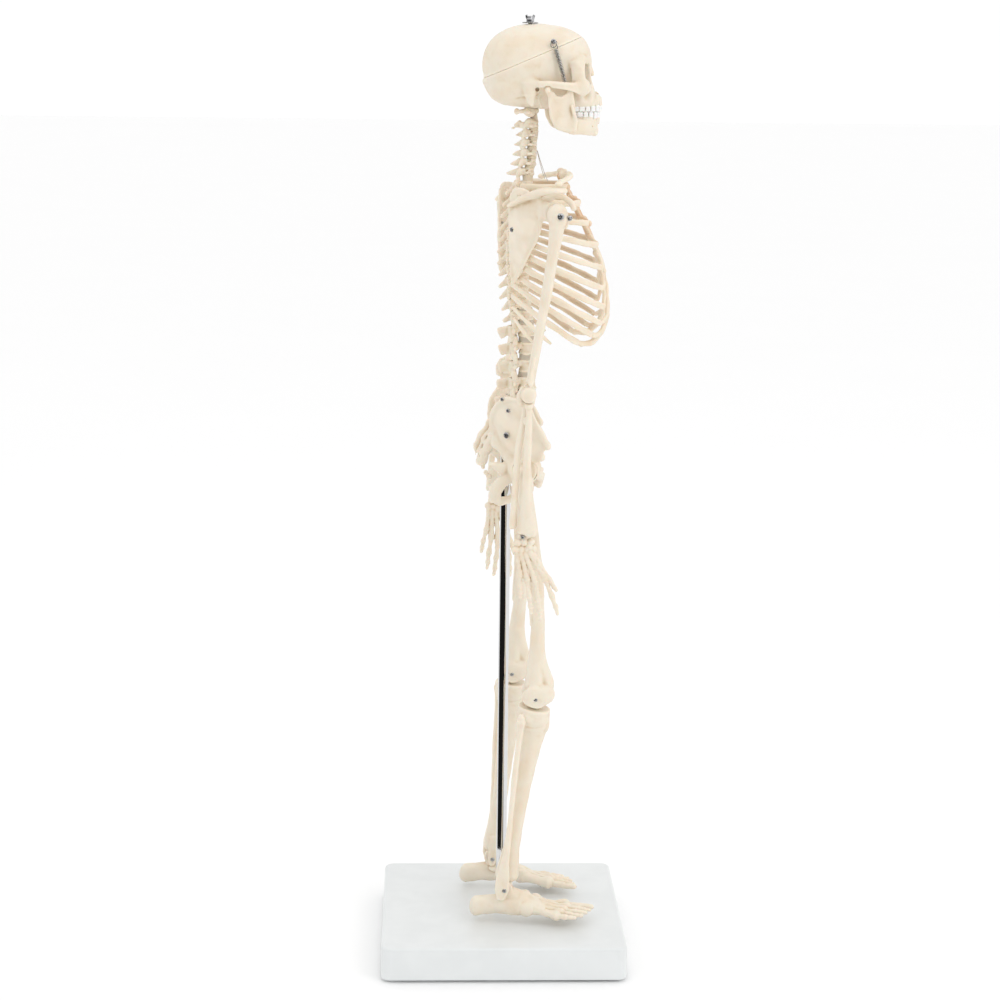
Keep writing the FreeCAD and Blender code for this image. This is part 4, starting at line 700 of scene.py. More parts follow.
def grow_jaw():
    jaw = Form((0, -82, 740), (46, -24, 792), FINE, halved=True)
    jaw.tube([(36.0, -41, 756, 5.8, 1.7), (32.8, -47, 753.6, 6.4, 2.1),
              (27.5, -55, 752.0, 6.6, 2.5), (20.5, -63.5, 751.3, 6.6, 2.8),
              (13, -70, 751, 6.6, 3.0), (6, -73.3, 751, 6.6, 3.1), (-6, -73.3, 751, 6.6, 3.1)],
             soft=2)
    jaw.tube([(19.6, -51.5, 757, 3, 2.1), (16.5, -61, 757, 3, 2.2), (12.4, -69, 757, 3, 2.2),
              (5.6, -74.2, 757, 3, 2.0), (-5.6, -74.2, 757, 3, 2.0)], soft=3)
    jaw.egg((0, -75.2, 747.6), (5.5, 2.6, 3.6), soft=3)
    jaw.egg((7.5, -74.6, 745.6), (3.0, 2.2, 2.0), soft=2.5)
    # the upright branch, hooked forwards and rolled at its joint
    outline = [(-33.4, 782), (-31.4, 771), (-34.0, 759), (-36.6, 753.4), (-41, 749.4), (-47, 747.6),
               (-57, 748), (-58.4, 757), (-55.6, 766), (-54.6, 776), (-53.4, 784.4), (-51, 785.4),
               (-47.6, 780.4), (-43.4, 777.4), (-39.0, 778.0), (-36.6, 781.2)]
    outline = [(y + 36, z) for y, z in outline]
    jaw.plate((37.4, -36, 0), (0.24, 1, 0), (0, 0, 1), outline, 1.5, soft=3, thin=0.4)
    jaw.tube([(36.7, -34.4, 770, 2.6, 1.6), (37.2, -33.6, 777, 2.1, 1.5),
              (38.4, -32.0, 781, 2.0, 1.8)], AHEAD, soft=1.5)
    jaw.tube([(36.4, *JAW_AXIS, 2.3), (41.2, *JAW_AXIS, 2.3)], soft=1.2)
    jaw.tube([(37.6, -52, 770, 1.1), (36.4, -54.5, 762, 1.4), (30, -55.5, 756, 1.6)], soft=2)
    for x, y in TEETH_ROW:
        jaw.tube([(x * 0.99, y + 1.6, 760.2, 1.2), (x * 0.98, y + 2.2, 755.0, 1.2)], soft=1.2)
    jaw.drum((15.3, -73, 751.8), (15.3, -64, 751.8), 0.8, 0.2, soft=0.4, cut=True)
    jaw.wobble(0.3, 18, 5)
    grow("jaw_bone", jaw.skin(2), "jaw", BONE, ["mandible"])
    tooth_row("upper_teeth", 1, TEETH_ROW, "skull")
    tooth_row("lower_teeth", -1, [(x * 0.985, y + 1.7) for x, y in TEETH_ROW], "jaw")


# ---- spine -----------------------------------------------------------------------------

# The spine's curve: (height, y) of the line through the vertebral bodies.
SPINE = [(492, -13), (520, -18), (548, -18.5), (580, -16.5), (612, -12), (645, -10),
         (678, -12), (705, -16.5), (730, -20), (750, -21), (764, -17)]
# Pairs hold for a region's lowest and highest bone. low and high are their heights, spine
# and reach the distances to the tips at the back and sides, drop how far the back tip
# hangs, wall the ring's half thickness, ring its depth and joint the joint bosses' size.
REGIONS = {
    "lumbar": dict(count=5, low=509, high=572, half_width=(11.5, 10.5), half_depth=(8.5, 7.8),
                   height=(11.4, 10.8), spine=(27, 25), drop=(2, 3), reach=(19, 17),
                   wall=1.9, ring=6.5, joint=1.45),
    "thoracic": dict(count=12, low=585.5, high=700, half_width=(9.5, 7.5), half_depth=(7.2, 5),
                     height=(8.5, 7.6), spine=(20, 19), drop=(6, 8), reach=(9.5, 11),
                     wall=1.5, ring=5.0, joint=1.0),
    "cervical": dict(count=7, low=712, high=761.3, half_width=(7.5, 7), half_depth=(4.8, 4),
                     height=(5.7, 5), spine=(19, 13), drop=(4, 2), reach=(12, 14),
                     wall=1.2, ring=4.6, joint=1.0),
}


def spine_y(height):
    for (z0, y0), (z1, y1) in zip(SPINE, SPINE[1:]):
        if height <= z1:
            share = max(0.0, (height - z0) / (z1 - z0))
            return y0 + (y1 - y0) * (1 - cos(pi * share)) / 2
    return SPINE[-1][1]


def ramp(ends, share):
    return ends[0] + (ends[1] - ends[0]) * share


def levels(region):
    last = region["count"] - 1
    return [(ramp((region["low"], region["high"]), i / last), i / last)
            for i in range(region["count"])]


def vertebral_body(form, y, z, wide, deep, tall):
    """A waisted drum, hollowed a little at the back for the nerve canal."""
    ratio = wide / deep
    form.drum((0, y, z - tall / 2), (0, y, z + tall / 2), deep * 0.93, 1.0, squeeze=ratio)
    rim = 0.9
    for middle in (z - (tall / 2 - rim), z + (tall / 2 - rim)):
        form.drum((0, y, middle - rim), (0, y, middle + rim), deep, 0.8, soft=1.2, squeeze=ratio)
    form.egg((0, y + deep * 1.55, z), (wide * 0.55, deep * 0.75, tall), soft=1, cut=True)


def grow_vertebra(name, kind, z, share, seed):
    r = REGIONS[kind]
    y, tall = spine_y(z), ramp(r["height"], share)
    wide, deep = ramp(r["half_width"], share), ramp(r["half_depth"], share)
    reach, drop = ramp(r["reach"], share), ramp(r["drop"], share)
    back, tip = y + deep, y + ramp(r["spine"], share)
    gap = (r["high"] - r["low"]) / (r["count"] - 1)
    form = Form((0, y - deep - 3, z - gap - 6), (reach + 5, tip + 5, z + gap), FINE, halved=True)
    vertebral_body(form, y, z, wide, deep, tall)
    thick, joint, side, rear = r["wall"], r["joint"], wide * 0.62, back + r["ring"]
    # pedicle and lamina round the canal
    form.tube([(side, back - 2.0, z + tall * 0.22, tall * 0.26, thick),
               (side * 1.1, back + 2.2, z + tall * 0.15, tall * 0.3, thick),
               (side * 0.75, rear - 0.8, z - tall * 0.05, tall * 0.42, thick),
               (0.4, rear + 1.0, z - tall * 0.1, tall * 0.45, thick)], soft=1.2)
    # joint surfaces above and below
    form.egg((side * 1.15, back + 3.0, z + gap * 0.40),
             (1.9 * joint, 1.7 * joint, gap * 0.24 + 1.2), soft=1.5)
    form.egg((side * 0.95, back + 4.4, z - gap * 0.38),
             (1.8 * joint, 1.6 * joint, gap * 0.22 + 1.2), soft=1.5)
    # spine at the back
    if kind == "lumbar":
        form.tube([(0, rear, z - 0.5, tall * 0.38, 1.3),
                   (0, (rear + tip) / 2, z - drop / 2, tall * 0.42, 1.2),
                   (0, tip - 1.5, z - drop, tall * 0.45, 1.5)], soft=1.5)
    elif kind == "thoracic":
        form.tube([(0, rear, z - 1, tall * 0.38, 1.4),
                   (0, (rear + tip) / 2, z - drop * 0.6, tall * 0.26, 1.1),
                   (0, tip - 1, z - drop, tall * 0.2, 1.2)], soft=1.5)
    else:
        form.tube([(0, rear - 1, z, 3.4, 1.5), (0, (rear + tip) / 2, z - drop * 0.3, 2.4, 1.2),
                   (0, tip - 1.0, z - drop * 0.5, 1.1, 1.2)], soft=1.5)
        form.egg((1.2, tip - 1.0, z - drop * 0.5), (1.0, 1.6, 1.0), soft=0.8)
        form.egg((side * 1.5, back + 2.6, z), (2.7, 2.9, gap * 0.43), spin("X", 25), soft=0.8)
        form.egg((side * 1.4, back - 0.4, z + 0.4), (2.2, 3.2, gap * 0.36), soft=1.0)
    # side spurs
    if kind == "cervical":
        form.tube([(wide * 0.7, y - 0.5, z + 0.4, 1.5, 1.1),
                   (reach - 2.4, y + 1.0, z - 0.6, 1.1, 2.0),
                   (reach - 1.0, y + 2.0, z - 1.0, 1.2, 2.4)], soft=1.2)
        form.drum((wide * 0.98, y + 1.6, z - 4), (wide * 0.98, y + 1.6, z + 4), 1.15, 0.2, soft=0.5,
                  cut=True)
    else:
        lift, sweep = (2.2, 5.0) if kind == "thoracic" else (0.4, 3.6)
        form.tube([(side, back + 1.5, z + 0.6, 2.0, 1.5),
                   ((side + reach) / 2, back + 3.2, z + lift / 2, 1.6, 1.1),
                   (reach - 1, back + sweep, z + lift, 1.9, 1.3)], soft=1.5)
    form.wobble(0.3, 9, seed)
    grow(name, form.skin(2, 2.0), "trunk", BONE, [kind + "_vertebrae"])
    return z - tall / 2, z + tall / 2, wide, deep


ATLAS_LIFT = 2.8                     # how much closer the atlas is to the skull
AXIS_BODY = (7.4, 4.4, 5.6)          # half width, half depth and height
SACRUM_TOP = (488, 501.2, 12.6, 9)   # its upper body: lowest and highest point, half sizes
DARK_DISCS = 7                       # the lowest discs are darker


def grow_atlas_and_axis():
    """The two uppermost neck bones: a ring, and a bone with a peg up into it."""
    (low_z, _), (high_z, _) = levels(REGIONS["cervical"])[-2:]
    high_z += ATLAS_LIFT
    y = spine_y(low_z)
    axis = Form((0, y - 9, low_z - 9), (18, y + 22, low_z + 13), FINE, halved=True)
    vertebral_body(axis, y, low_z, *AXIS_BODY)
    axis.tube([(0, y - 1.6, low_z + 2, 2.2), (0, y - 2.2, low_z + 8.6, 1.7)], soft=1.5)
    axis.egg((6.6, y + 1.0, low_z + 2.4), (3.6, 3.4, 1.7), spin("Y", 14), soft=1.2)
    axis.egg((6.4, y + 2.4, low_z + 0.6), (3.4, 5.2, 4.6), soft=1.2)
    axis.tube([(6.0, y + 3, low_z, 2.2, 1.3), (6.6, y + 6.4, low_z - 0.8, 2.4, 1.3),
               (3.8, y + 9.4, low_z - 1.0, 2.6, 1.4), (0.4, y + 11.2, low_z - 1.2, 2.8, 1.5)],
              soft=1.2)
    axis.tube([(0, y + 11, low_z - 0.6, 3.6, 1.6), (0, y + 15.5, low_z - 1.8, 2.3, 1.5)], soft=1)
    axis.egg((1.5, y + 17, low_z - 3.4), (1.3, 1.9, 1.3), soft=1)
    axis.tube([(6.5, y + 1, low_z, 1.5, 1.2), (11.6, y + 2.0, low_z - 1.4, 1.3, 1.8)], soft=1.2)
    axis.wobble(0.3, 9, 71)
    grow("C2_axis", axis.skin(2, 2.0), "trunk", BONE, ["cervical_vertebrae"])
    y = spine_y(high_z)
    ring = Form((0, y - 10, high_z - 7), (20, y + 16, high_z + 8), FINE, halved=True)
    ring.tube([(0, y - 7.2, high_z + 0.6, 2.4, 1.3), (4, y - 6.2, high_z + 0.4, 2.0, 1.3),
               (7.6, y - 2.5, high_z + 0.2, 2.2, 1.8)], soft=1)
    ring.egg((8.0, y - 0.3, high_z - 0.6), (3.5, 5.8, 4.4), spin("Z", -18), soft=1)
    ring.tube([(8.0, y + 3, high_z, 1.7, 1.4), (6.8, y + 7.0, high_z - 0.2, 1.8, 1.3),
               (3.6, y + 9.6, high_z - 0.4, 2.0, 1.4), (0, y + 10.8, high_z - 0.4, 2.6, 1.9)],
              soft=1)
    ring.tube([(9.5, y, high_z, 1.6, 1.5), (14.6, y + 1.2, high_z - 0.6, 1.6, 2.2)], soft=1.2)
    ring.drum((11.6, y + 0.6, high_z - 5), (11.6, y + 0.6, high_z + 5), 1.2, 0.2, soft=0.4,
              cut=True)
    ring.egg((7.8, y - 0.8, high_z + 4.2), (2.2, 4.0, 1.6), spin("Z", -18), soft=0.8, cut=True)
    ring.wobble(0.3, 9, 72)
    grow("C1_atlas", ring.skin(2, 2.0), "trunk", BONE, ["cervical_vertebrae"])
    wide, deep, tall = AXIS_BODY
    return [(low_z - tall / 2, low_z + tall / 2, wide, deep)]


def grow_spine():
    ends = [SACRUM_TOP]
    for kind, region in REGIONS.items():
        for i, (z, share) in enumerate(levels(region)):
            number = region["count"] - i
            if kind != "cervical" or number > 2:
                name = f"{kind[0].upper()}{number}"
                ends.append(grow_vertebra(name, kind, z, share, 10 * i + len(kind)))
    ends += grow_atlas_and_axis()
    for i, (lower, upper) in enumerate(zip(ends, ends[1:])):
        bottom, top = lower[1] - 0.3, upper[0] + 0.3
        z, wide, deep = (bottom + top) / 2, (lower[2] + upper[2]) / 2, (lower[3] + upper[3]) / 2
        y = spine_y(z)
        form = Form((0, y - deep - 3, bottom - 2), (wide + 3, y + deep + 3, top + 2), FINE,
                    halved=True)
        edge = min(0.9, (top - bottom) / 2 * 0.8)
        form.drum((0, y, bottom), (0, y, top), deep * 0.97, edge, squeeze=wide / deep)
        form.egg((0, y + deep * 1.6, z), (wide * 0.5, deep * 0.75, 8), soft=1, cut=True)
        form.wobble(0.15, 6, 300 + i)
        finish = DISC if i < DARK_DISCS else PALE_DISC
        grow(f"disc_{i + 1:02d}", form.skin(1, 1.6), "trunk", finish,
             ["intervertebral_discs"])


# ---- thorax ----------------------------------------------------------------------------

# Per rib from the top: greatest distance from the middle plane, and its front end's x, y, z.
RIBS = [(31, 23, -50, 700), (43, 28, -60, 686), (50, 30, -69, 669), (55, 31, -76, 650),
        (59, 32, -80, 631), (61, 33, -82, 613), (63, 35, -82.5, 597), (63, 38, -80, 583),
        (61, 43, -73, 573), (57, 46, -60, 566.5), (52, 48, -36, 566), (45, 42, -20, 567)]
FLOATING = 10                        # ribs from this one on, from 0, end free
RIB_BACK = 12                        # how far behind the spine's curve a rib bends forwards
RIB_HEAD_OUT = 11.5
RIB_STATIONS = 26
RIB_HALVES = (2.75, 1.5)             # half height and half thickness of a rib
# The upper cartilages end at the breastbone, and the others join the margin below them.
CARTILAGE_ENDS = [(12, -47.5, 704), (9, -55, 690), (8, -64, 672), (8.5, -72, 656), (9, -79, 641),
                  (8.5, -83, 630), (8, -85.5, 622)]
MARGIN = [(44, -63.5, 565), (37, -73, 566), (29, -82, 574), (21, -87, 588), (14, -87.5, 602),
          (8.5, -86.5, 614)]


def rib_heights():
    return [z for z, _ in levels(REGIONS["thoracic"])][::-1]


def rib_path(level, height):
    """Points of a rib: part of an ellipse in plan that sinks evenly towards the front."""
    half_width, front_out, front_y, front_z = RIBS[level]
    back_y = spine_y(height) + RIB_BACK
    start = asin(RIB_HEAD_OUT / half_width)
    end = pi - asin(front_out / half_width)
    half_depth = (back_y - front_y) / (1 - cos(end))
    path = []
    for i in range(RIB_STATIONS):
        angle = start + (end - start) * (i / (RIB_STATIONS - 1)) ** 0.85
        out = half_width * sin(angle)
        y = back_y - half_depth * (1 - cos(angle))
        sink = (back_y - y) / (back_y - front_y)
        bend = RIB_BACK * 0.62 * max(0.0, 1 - (out - RIB_HEAD_OUT) / 14) ** 2
        path.append(np.array((out, y - bend, height + (front_z - height) * sink)))
    return path


def grow_ribs():
    for level, height in enumerate(rib_heights()):
        path = rib_path(level, height)
        floating = level >= FLOATING
        tall, thin = (half * (0.8 if floating else 1.0) for half in RIB_HALVES)
        stations = []
        for i, point in enumerate(path):
            t = i / (RIB_STATIONS - 1)
            swell = 1 - 0.26 * max(0, 1 - t / 0.12) + 0.10 * max(0, (t - 0.86) / 0.14)
            if floating:
                swell *= 1 - 0.55 * max(0, (t - 0.75) / 0.25)
            round_end = 1 + 0.35 * max(0, 1 - t / 0.15)
            stations.append((*point, tall * swell, thin * round_end))
        form = Form(np.min(path, 0) - 6, np.max(path, 0) + 6, THIN_STEP)
        form.tube(stations)
        head, neck = path[0], path[2]
        form.egg(head, (2.2, 2.2, 2.2), soft=1)
        form.egg(neck + (0.6, 1.0, -0.3), (1.8, 1.4, 1.6), soft=1.2)
        groove = [(x * 0.965, y * 0.985 - 0.2, z - RIB_HALVES[0] * 0.75, 0.9)
                  for x, y, z in path[5:-6]]
        form.tube(groove, soft=0.8, cut=True)
        form.wobble(0.2, 16, 400 + level)
        grow_pair(f"{{}}_rib_{level + 1:02d}", form.skin(2, 2.2), RIB_BONE, "{}_ribs")


def grow_breastbone():
    bone = Form((0, -94, 596), (18, -38, 716), STEP, halved=True)
    bone.tube([(0, -45.2, 708.6, 13.0, 2.9), (0, -48.5, 702, 13.2, 3.1),
               (0, -53.5, 692.5, 8.2, 2.8)], ACROSS, soft=1)
    bone.tube([(0, -54.3, 690.5, 7.8, 2.8), (0, -60, 679.5, 7.4, 2.7), (0, -66, 668, 8.4, 2.7),
               (0, -72, 656.5, 9.2, 2.7), (0, -77.5, 645, 9.8, 2.7), (0, -82, 634, 9.4, 2.6),
               (0, -85, 625, 7.4, 2.5)], ACROSS, soft=1)
    bone.tube([(0, -85.5, 624, 4.4, 1.9), (0, -87.5, 613, 4.0, 1.6), (0, -88.2, 603.5, 2.2, 1.4)],
              ACROSS, soft=2)
    bone.egg((0, -45.2, 714.5), (4.5, 8, 3.6), soft=2, cut=True)
    bone.egg((12.6, -46.5, 711.8), (4.0, 6, 3.0), spin("Y", 30), soft=1.5, cut=True)
    for out, y, z in CARTILAGE_ENDS[1:]:
        bone.egg((out + 1.6, y + 1.5, z), (1.7, 2.6, 2.4), soft=1.0, cut=True)
    for z, y in ((691.6, -53.8), (679, -60.5), (666, -67.5), (652, -74), (638, -80.5)):
        bone.tube([(-14, y - 2.6, z, 0.35), (14, y - 2.6, z, 0.35)], soft=1.2, cut=True)
    bone.wobble(0.4, 14, 500)
    grow("breastbone", bone.skin(2), "trunk", BREAST_BONE, ["sternum"])


def grow_cartilages():
    form = Form((4, -95, 558), (52, -42, 712), STEP)
    # the margin's points where the eighth, ninth and tenth cartilages join it
    lower_ends = [MARGIN[3], MARGIN[2], MARGIN[0]]
    targets = [np.array(end) + (0, 1.6, 0) for end in CARTILAGE_ENDS] + lower_ends
    for level, (height, last) in enumerate(zip(rib_heights(), targets)):
        last = np.array(last, float)
        start = np.array(RIBS[level][1:], float)
        heading = unit(start - rib_path(level, height)[-2])
        first = start - heading * 0.6
        second = start + heading * 5
        bend = (second + last) * 0.5 + (0, 0.2, 0)
        long = np.linalg.norm(last - second) > 9
        points = bezier([first, second, bend, last], 9) if long else [first, last]
        form.tube([(*p, 2.5, 1.6) for p in points], soft=1.2)
    form.tube([(*p, 2.7, 1.9) for p in smooth_chain(MARGIN, 4)], soft=1.5)
    form.wobble(0.4, 11, 510)
    grow_pair("{}_cartilages", form.skin(2), GRISTLE, "costal_cartilages")


def bezier(points, count):
    """Points along the curve that a few guide points pull."""
    p = [np.array(q, float) for q in points]
    out = []
    for t in np.linspace(0, 1, count):
        row = p
        while len(row) > 1:
            row = [a * (1 - t) + b * t for a, b in zip(row, row[1:])]
        out.append(row[0])
    return out


def smooth_chain(points, count):
    """A smooth curve through points, with count steps between neighbours."""
    p = [np.array(q, float) for q in points]
    p = [2 * p[0] - p[1]] + p + [2 * p[-1] - p[-2]]
    out = []
    for a, b, c, d in zip(p, p[1:], p[2:], p[3:]):
        for t in np.arange(count) / count:
            out.append(0.5 * (2 * b + (c - a) * t + (2 * a - 5 * b + 4 * c - d) * t * t
                              + (3 * b - a - 3 * c + d) * t ** 3))
    return out + [p[-2]]


# ---- shoulder girdle -------------------------------------------------------------------

# Stations: x, y, z, half height and half depth. Outlines: distance along, height.
CLAVICLE = [(15.5, -46.5, 710.5, 3.6, 3.4), (19, -49.5, 710.6, 3.0, 2.8),
            (27, -52, 709.8, 2.5, 2.4), (36, -51.2, 709.2, 2.4, 2.3), (46, -48, 708, 2.4, 2.5),
            (56, -43.2, 706.6, 2.3, 2.8), (65, -40.2, 705.2, 2.1, 3.2),
            (72.5, -39.4, 704.2, 1.9, 3.1)]
BLADE = [(0, 672), (0.4, 684), (1.5, 693), (4, 698), (9, 700.4), (17, 700), (25, 699.2), (28, 697),
         (31, 699), (38, 694), (41, 687), (41.5, 676), (37.5, 666), (31.5, 655), (22.5, 641.5),
         (14, 629), (8.6, 621), (5.6, 618), (3.4, 618.2), (1.8, 624), (0.6, 645)]
BLADE_CORNER = (36.5, -0.5)          # inner border: x, y
BLADE_TURN = 38                      # degrees from straight outwards
GLENOID_FACE = 73.9                  # distance of its socket from the middle plane


def shoulder_lag(side):
    """How much further back than the right shoulder a side's shoulder is."""
    right, left = (joint_at(name + "_shoulder_swing").y for name in ("right", "left"))
    return left - right if side == LEFT else 0


def blade_form():
    along = (cos(radians(BLADE_TURN)), -sin(radians(BLADE_TURN)), 0)

    def at(out, z):
        return BLADE_CORNER[0] + along[0] * out, BLADE_CORNER[1] + along[1] * out, z

    form = Form((30, -66, 612), (88, 8, 712), STEP)
    form.plate((*BLADE_CORNER, 0), along, (0, 0, 1), BLADE, 1.35, bulge=-3.2, thin=0.45)
    # rims: the thick outer border and the inner one
    form.tube([(*at(41, 676), 2.6), (*at(36, 662), 2.2), (*at(22.5, 641), 1.9), (*at(11, 625), 1.8),
               (*at(5.4, 619.2), 1.6)], soft=2)
    form.tube([(*at(1.2, 694), 1.4), (*at(0.6, 672), 1.5), (*at(1.4, 645), 1.4),
               (*at(3.6, 622), 1.4)], soft=1.5)
    # neck and socket
    form.tube([(56, -15.5, 683, 7.0, 2.2), (63, -23, 682, 7.4, 3.6), (69, -30.5, 681, 8.6, 5.0),
               (74.5, -36.5, 680, 9.6, 6.6)], soft=3)
    # spine of the shoulder blade, ending over the shoulder
    ridge = [(0, 682.5), (12, 684.6), (26, 688.5), (34, 692), (34, 685), (16, 681.4), (0, 680.4)]
    form.plate(at(1, 0), along, (0, 0, 1), ridge, 0.9, soft=2)
    form.tube([(*at(3, 681.6), 1.2, 2.0), (45, 1.0, 684.5, 1.6, 3.2), (54, -5.5, 689, 2.4, 4.2),
               (62, -13.5, 693.4, 3.2, 4.2), (70, -22.5, 697, 3.6, 4.2), (77, -31, 699.0, 3.4, 4.6),
               (79.5, -38.5, 699.2, 2.8, 4.6), (76.5, -44.4, 699.2, 2.2, 3.6)], soft=3)
    # beak in front of the socket
    form.tube([(62, -29, 690, 4.0, 3.4), (63.5, -37, 694.5, 3.2, 3.0),
               (65.5, -44.5, 693.6, 2.8, 2.6), (68.5, -51, 689, 2.8, 2.4),
               (70, -53.2, 684.5, 2.2, 2.0)], soft=2.5)
    form.slab((96, -45, 672), (96 - GLENOID_FACE, 25, 22), edge=0.3, soft=0.6, cut=True)
    return form.wobble(0.35, 16, 600)


def collar_form(lag):
    """A collar bone whose outer end is further back by lag."""
    inner, outer = CLAVICLE[0][0], CLAVICLE[-1][0]
    moved = [(x, y + lag * (x - inner) / (outer - inner), z, *halves)
             for x, y, z, *halves in CLAVICLE]
    centres = smooth_chain([m[:3] for m in moved], 3)
    halves = smooth_chain([m[3:] for m in moved], 3)
    form = Form((8, -60, 698), (80, -26, 718), THIN_STEP)
    form.tube([(*p, *h) for p, h in zip(centres, halves)], soft=1)
    form.egg(moved[0][:3], (3.0, 3.6, 4.2), soft=1.5)
    return form.wobble(0.35, 10, 610)


def grow_girdle():
    blade = blade_form().skin(2)
    for name, side in SIDES.items():
        lag = shoulder_lag(side)
        grow(name + "_shoulder_blade", blade, "trunk", BONE, [name + "_scapula"], side,
             Matrix.Translation((0, lag, 0)))
        grow(name + "_collar_bone", collar_form(lag).skin(2), "trunk", BONE,
             [name + "_clavicle"], side)


# ---- pelvis ----------------------------------------------------------------------------

HIP = (43, -15, 453)
HIP_CUP = 10.9                       # radius of the socket
WING = (40, -9, 457.5)               # where the iliac wing's outline is measured from
WING_TURN = 40                       # degrees from straight ahead
WING_OUTLINE = [(-20, 16), (-24, 26), (-25, 37), (-20, 49), (-12, 57), (-3, 61), (8, 61.5),
                (17, 57.5), (24, 50), (30, 38.5), (35.5, 25), (37, 19.5), (34.5, 16.8),
                (31.5, 13.5), (31, 8), (22, 3), (10, -6), (-9, -6), (-11, 3), (-15, 8.5)]
WING_CREST = [(-24.5, 35), (-19, 47.6), (-10, 56.4), (0, 60), (9, 60), (17, 56), (23.4, 48.6),
              (29.4, 37), (35, 23)]


def grow_sacrum():
    form = Form((0, -24, 434), (27, 34, 506), STEP, halved=True)
    form.tube([(0, -9.5, 498, 22, 8.5), (0, -4, 490, 24.5, 9.5), (0, 7, 481, 22.5, 9),
               (0, 15.5, 471, 17.5, 7), (0, 20.5, 461, 12.5, 5.4), (0, 21.5, 453, 8.0, 4.6)],
              ACROSS, soft=1)
    form.drum((0, -13.2, 492), (0, -15.6, 501.5), 8.8, 1, soft=3, squeeze=1.42)
    form.tube([(9, -3, 502, 3.4, 2.6), (15.5, -5.5, 498, 5.5, 4.0), (21.5, -4.5, 492, 8, 5.0)],
              (0, 0.4, 1), soft=3)
    form.tube([(0, 6.5, 500, 2.2, 1.6), (0, 14, 490, 2.8, 1.7), (0, 22, 479, 2.4, 1.6),
               (0, 27, 468, 2.0, 1.4), (0, 27.2, 459, 1.4, 1.2)], (0, 1, 0.4), soft=3)
    form.tube([(8.5, 9, 496, 1.4), (9.5, 14, 486, 1.3), (8, 21, 474, 1.2), (5, 25.5, 463, 1.1)],
              soft=3)
    for out, y, z in ((12.5, 5, 489), (11.6, 12, 479.5), (9.6, 18.5, 470), (7.4, 22.5, 461.5)):
        form.tube([(out, y - 20, z + 6, 1.7), (out, y + 12, z - 5, 1.6)], soft=1.2, cut=True)
    for z, y in ((447.5, 20.4), (442.8, 17.8), (439.4, 15.2)):
        form.egg((0, y, z), (3.6 - (447.5 - z) * 0.22, 2.4, 2.5), soft=0.8)
    form.slab((0, -2, 461), (12, 10, 12), edge=0.5, soft=0.6, cut=True)
    form.drum((0, 0, 473), (0, 0, 488), 8, 0.6, soft=1.5)
    form.drum((0, 0, 455), (0, 0, 489), 4.9, 0.2, cut=True)
    form.wobble(0.45, 12, 700)
    grow("sacrum_and_tailbone", form.skin(2), "trunk", BONE, ["sacrum"])


def grow_hip_bones():
    x, y, z = HIP
    form = Form((2.4, -50, 412), (76, 26, 530), STEP)
    # iliac wing: flared outwards and hollow on its inner face
    ahead = unit((sin(radians(WING_TURN)), -cos(radians(WING_TURN)), 0.0))
    lean = unit((0.11, 0.14, 1))

    def spot(u, v):
        return np.array(WING) + ahead * u + lean * v

    form.plate(WING, ahead, lean, WING_OUTLINE, 1.7, bulge=-3.6, soft=1, thin=0.75)
    form.tube([(*p, 2.2) for p in smooth_chain([spot(u, v) for u, v in WING_CREST], 2)], soft=2)
    form.egg(spot(36, 20.5), (2.8, 2.8, 3.6), soft=2)
    form.egg(spot(29, 9.5), (3.0, 3.0, 3.4), soft=3)
    form.egg(spot(-23.5, 31), (3.0, 3.4, 5.0), soft=3)
    # the thick part that meets the sacrum
    form.tube([(25.5, 9.5, 473, 4.4), (23.8, 6.5, 484, 5.6), (27.5, 2.5, 494, 4.6)], soft=5)
    form.tube([(*spot(-20, 18), 4.4), (*spot(-12, 12), 5.0), (*spot(-4, 2), 6.0)], soft=5)
    # socket
    form.egg((x - 3, y, z), (14.4, 14.6, 14.6), soft=5)
    # sitting bone, its spine and the ring round the opening
    form.tube([(37, -4, 447, 6.4), (37.2, 4.5, 441, 5.8), (36, 10.5, 433, 5.8),
               (33.6, 11.2, 426.8, 5.6)], soft=3)
    form.tube([(33.6, 10.6, 425.5, 5.2, 4.2), (27.5, 6, 421.6, 4.2, 3.2), (21, -2, 421.4, 3.8, 2.6),
               (14, -12, 424.6, 3.8, 2.5), (8, -22, 430, 4.6, 3.0)], soft=2.5)
    form.tube([(38.5, 4, 452.5, 5.4, 3.6), (38.3, 10.5, 456, 3.0, 2.4),
               (37.6, 15.4, 457.6, 1.4, 1.4)], soft=3)
    form.tube([(37, -20, 450, 5.8), (28, -26, 446.2, 4.2, 3.8), (19, -29.4, 443.2, 3.8, 3.8),
               (11, -30.6, 440.6, 4.6, 3.8), (5.8, -28.6, 437.2, 7.2, 4.0)], soft=2.5)
    form.egg((13, -33.2, 443.2), (2.2, 2.0, 2.2), soft=2)
    form.tube([(31, -21, 455, 1.8), (24, -26, 450, 1.6), (15, -30, 446, 1.5)], soft=2.5)
    # cup, its notch, and room for the sacrum
    form.egg(HIP, (HIP_CUP,) * 3, soft=0.8, cut=True)
    form.drum((x, y, z), (x + 30, y, z), HIP_CUP - 0.1, 0.5, soft=0.5, cut=True)
    form.slab((x + 1, y - 1, z - 12), (10, 3.6, 6), edge=1, soft=1, cut=True)
    form.slab((4, 12, 494), (20.0, 20, 26), edge=1, soft=1, cut=True)
    form.wobble(0.45, 15, 710)
    grow_pair("{}_pelvis_bone", form.skin(2), BONE, "{}_hip_bone")
    pad = Form((0, -36, 425), (6, -16, 449), 0.6, halved=True)
    pad.slab((0, -27.6, 437.0), (3.2, 4.4, 6.8), edge=1.8)
    grow("pubic_pad", pad.skin(1), "trunk", GRISTLE, ["pubic_symphysis"])


# ---- arms ------------------------------------------------------------------------------

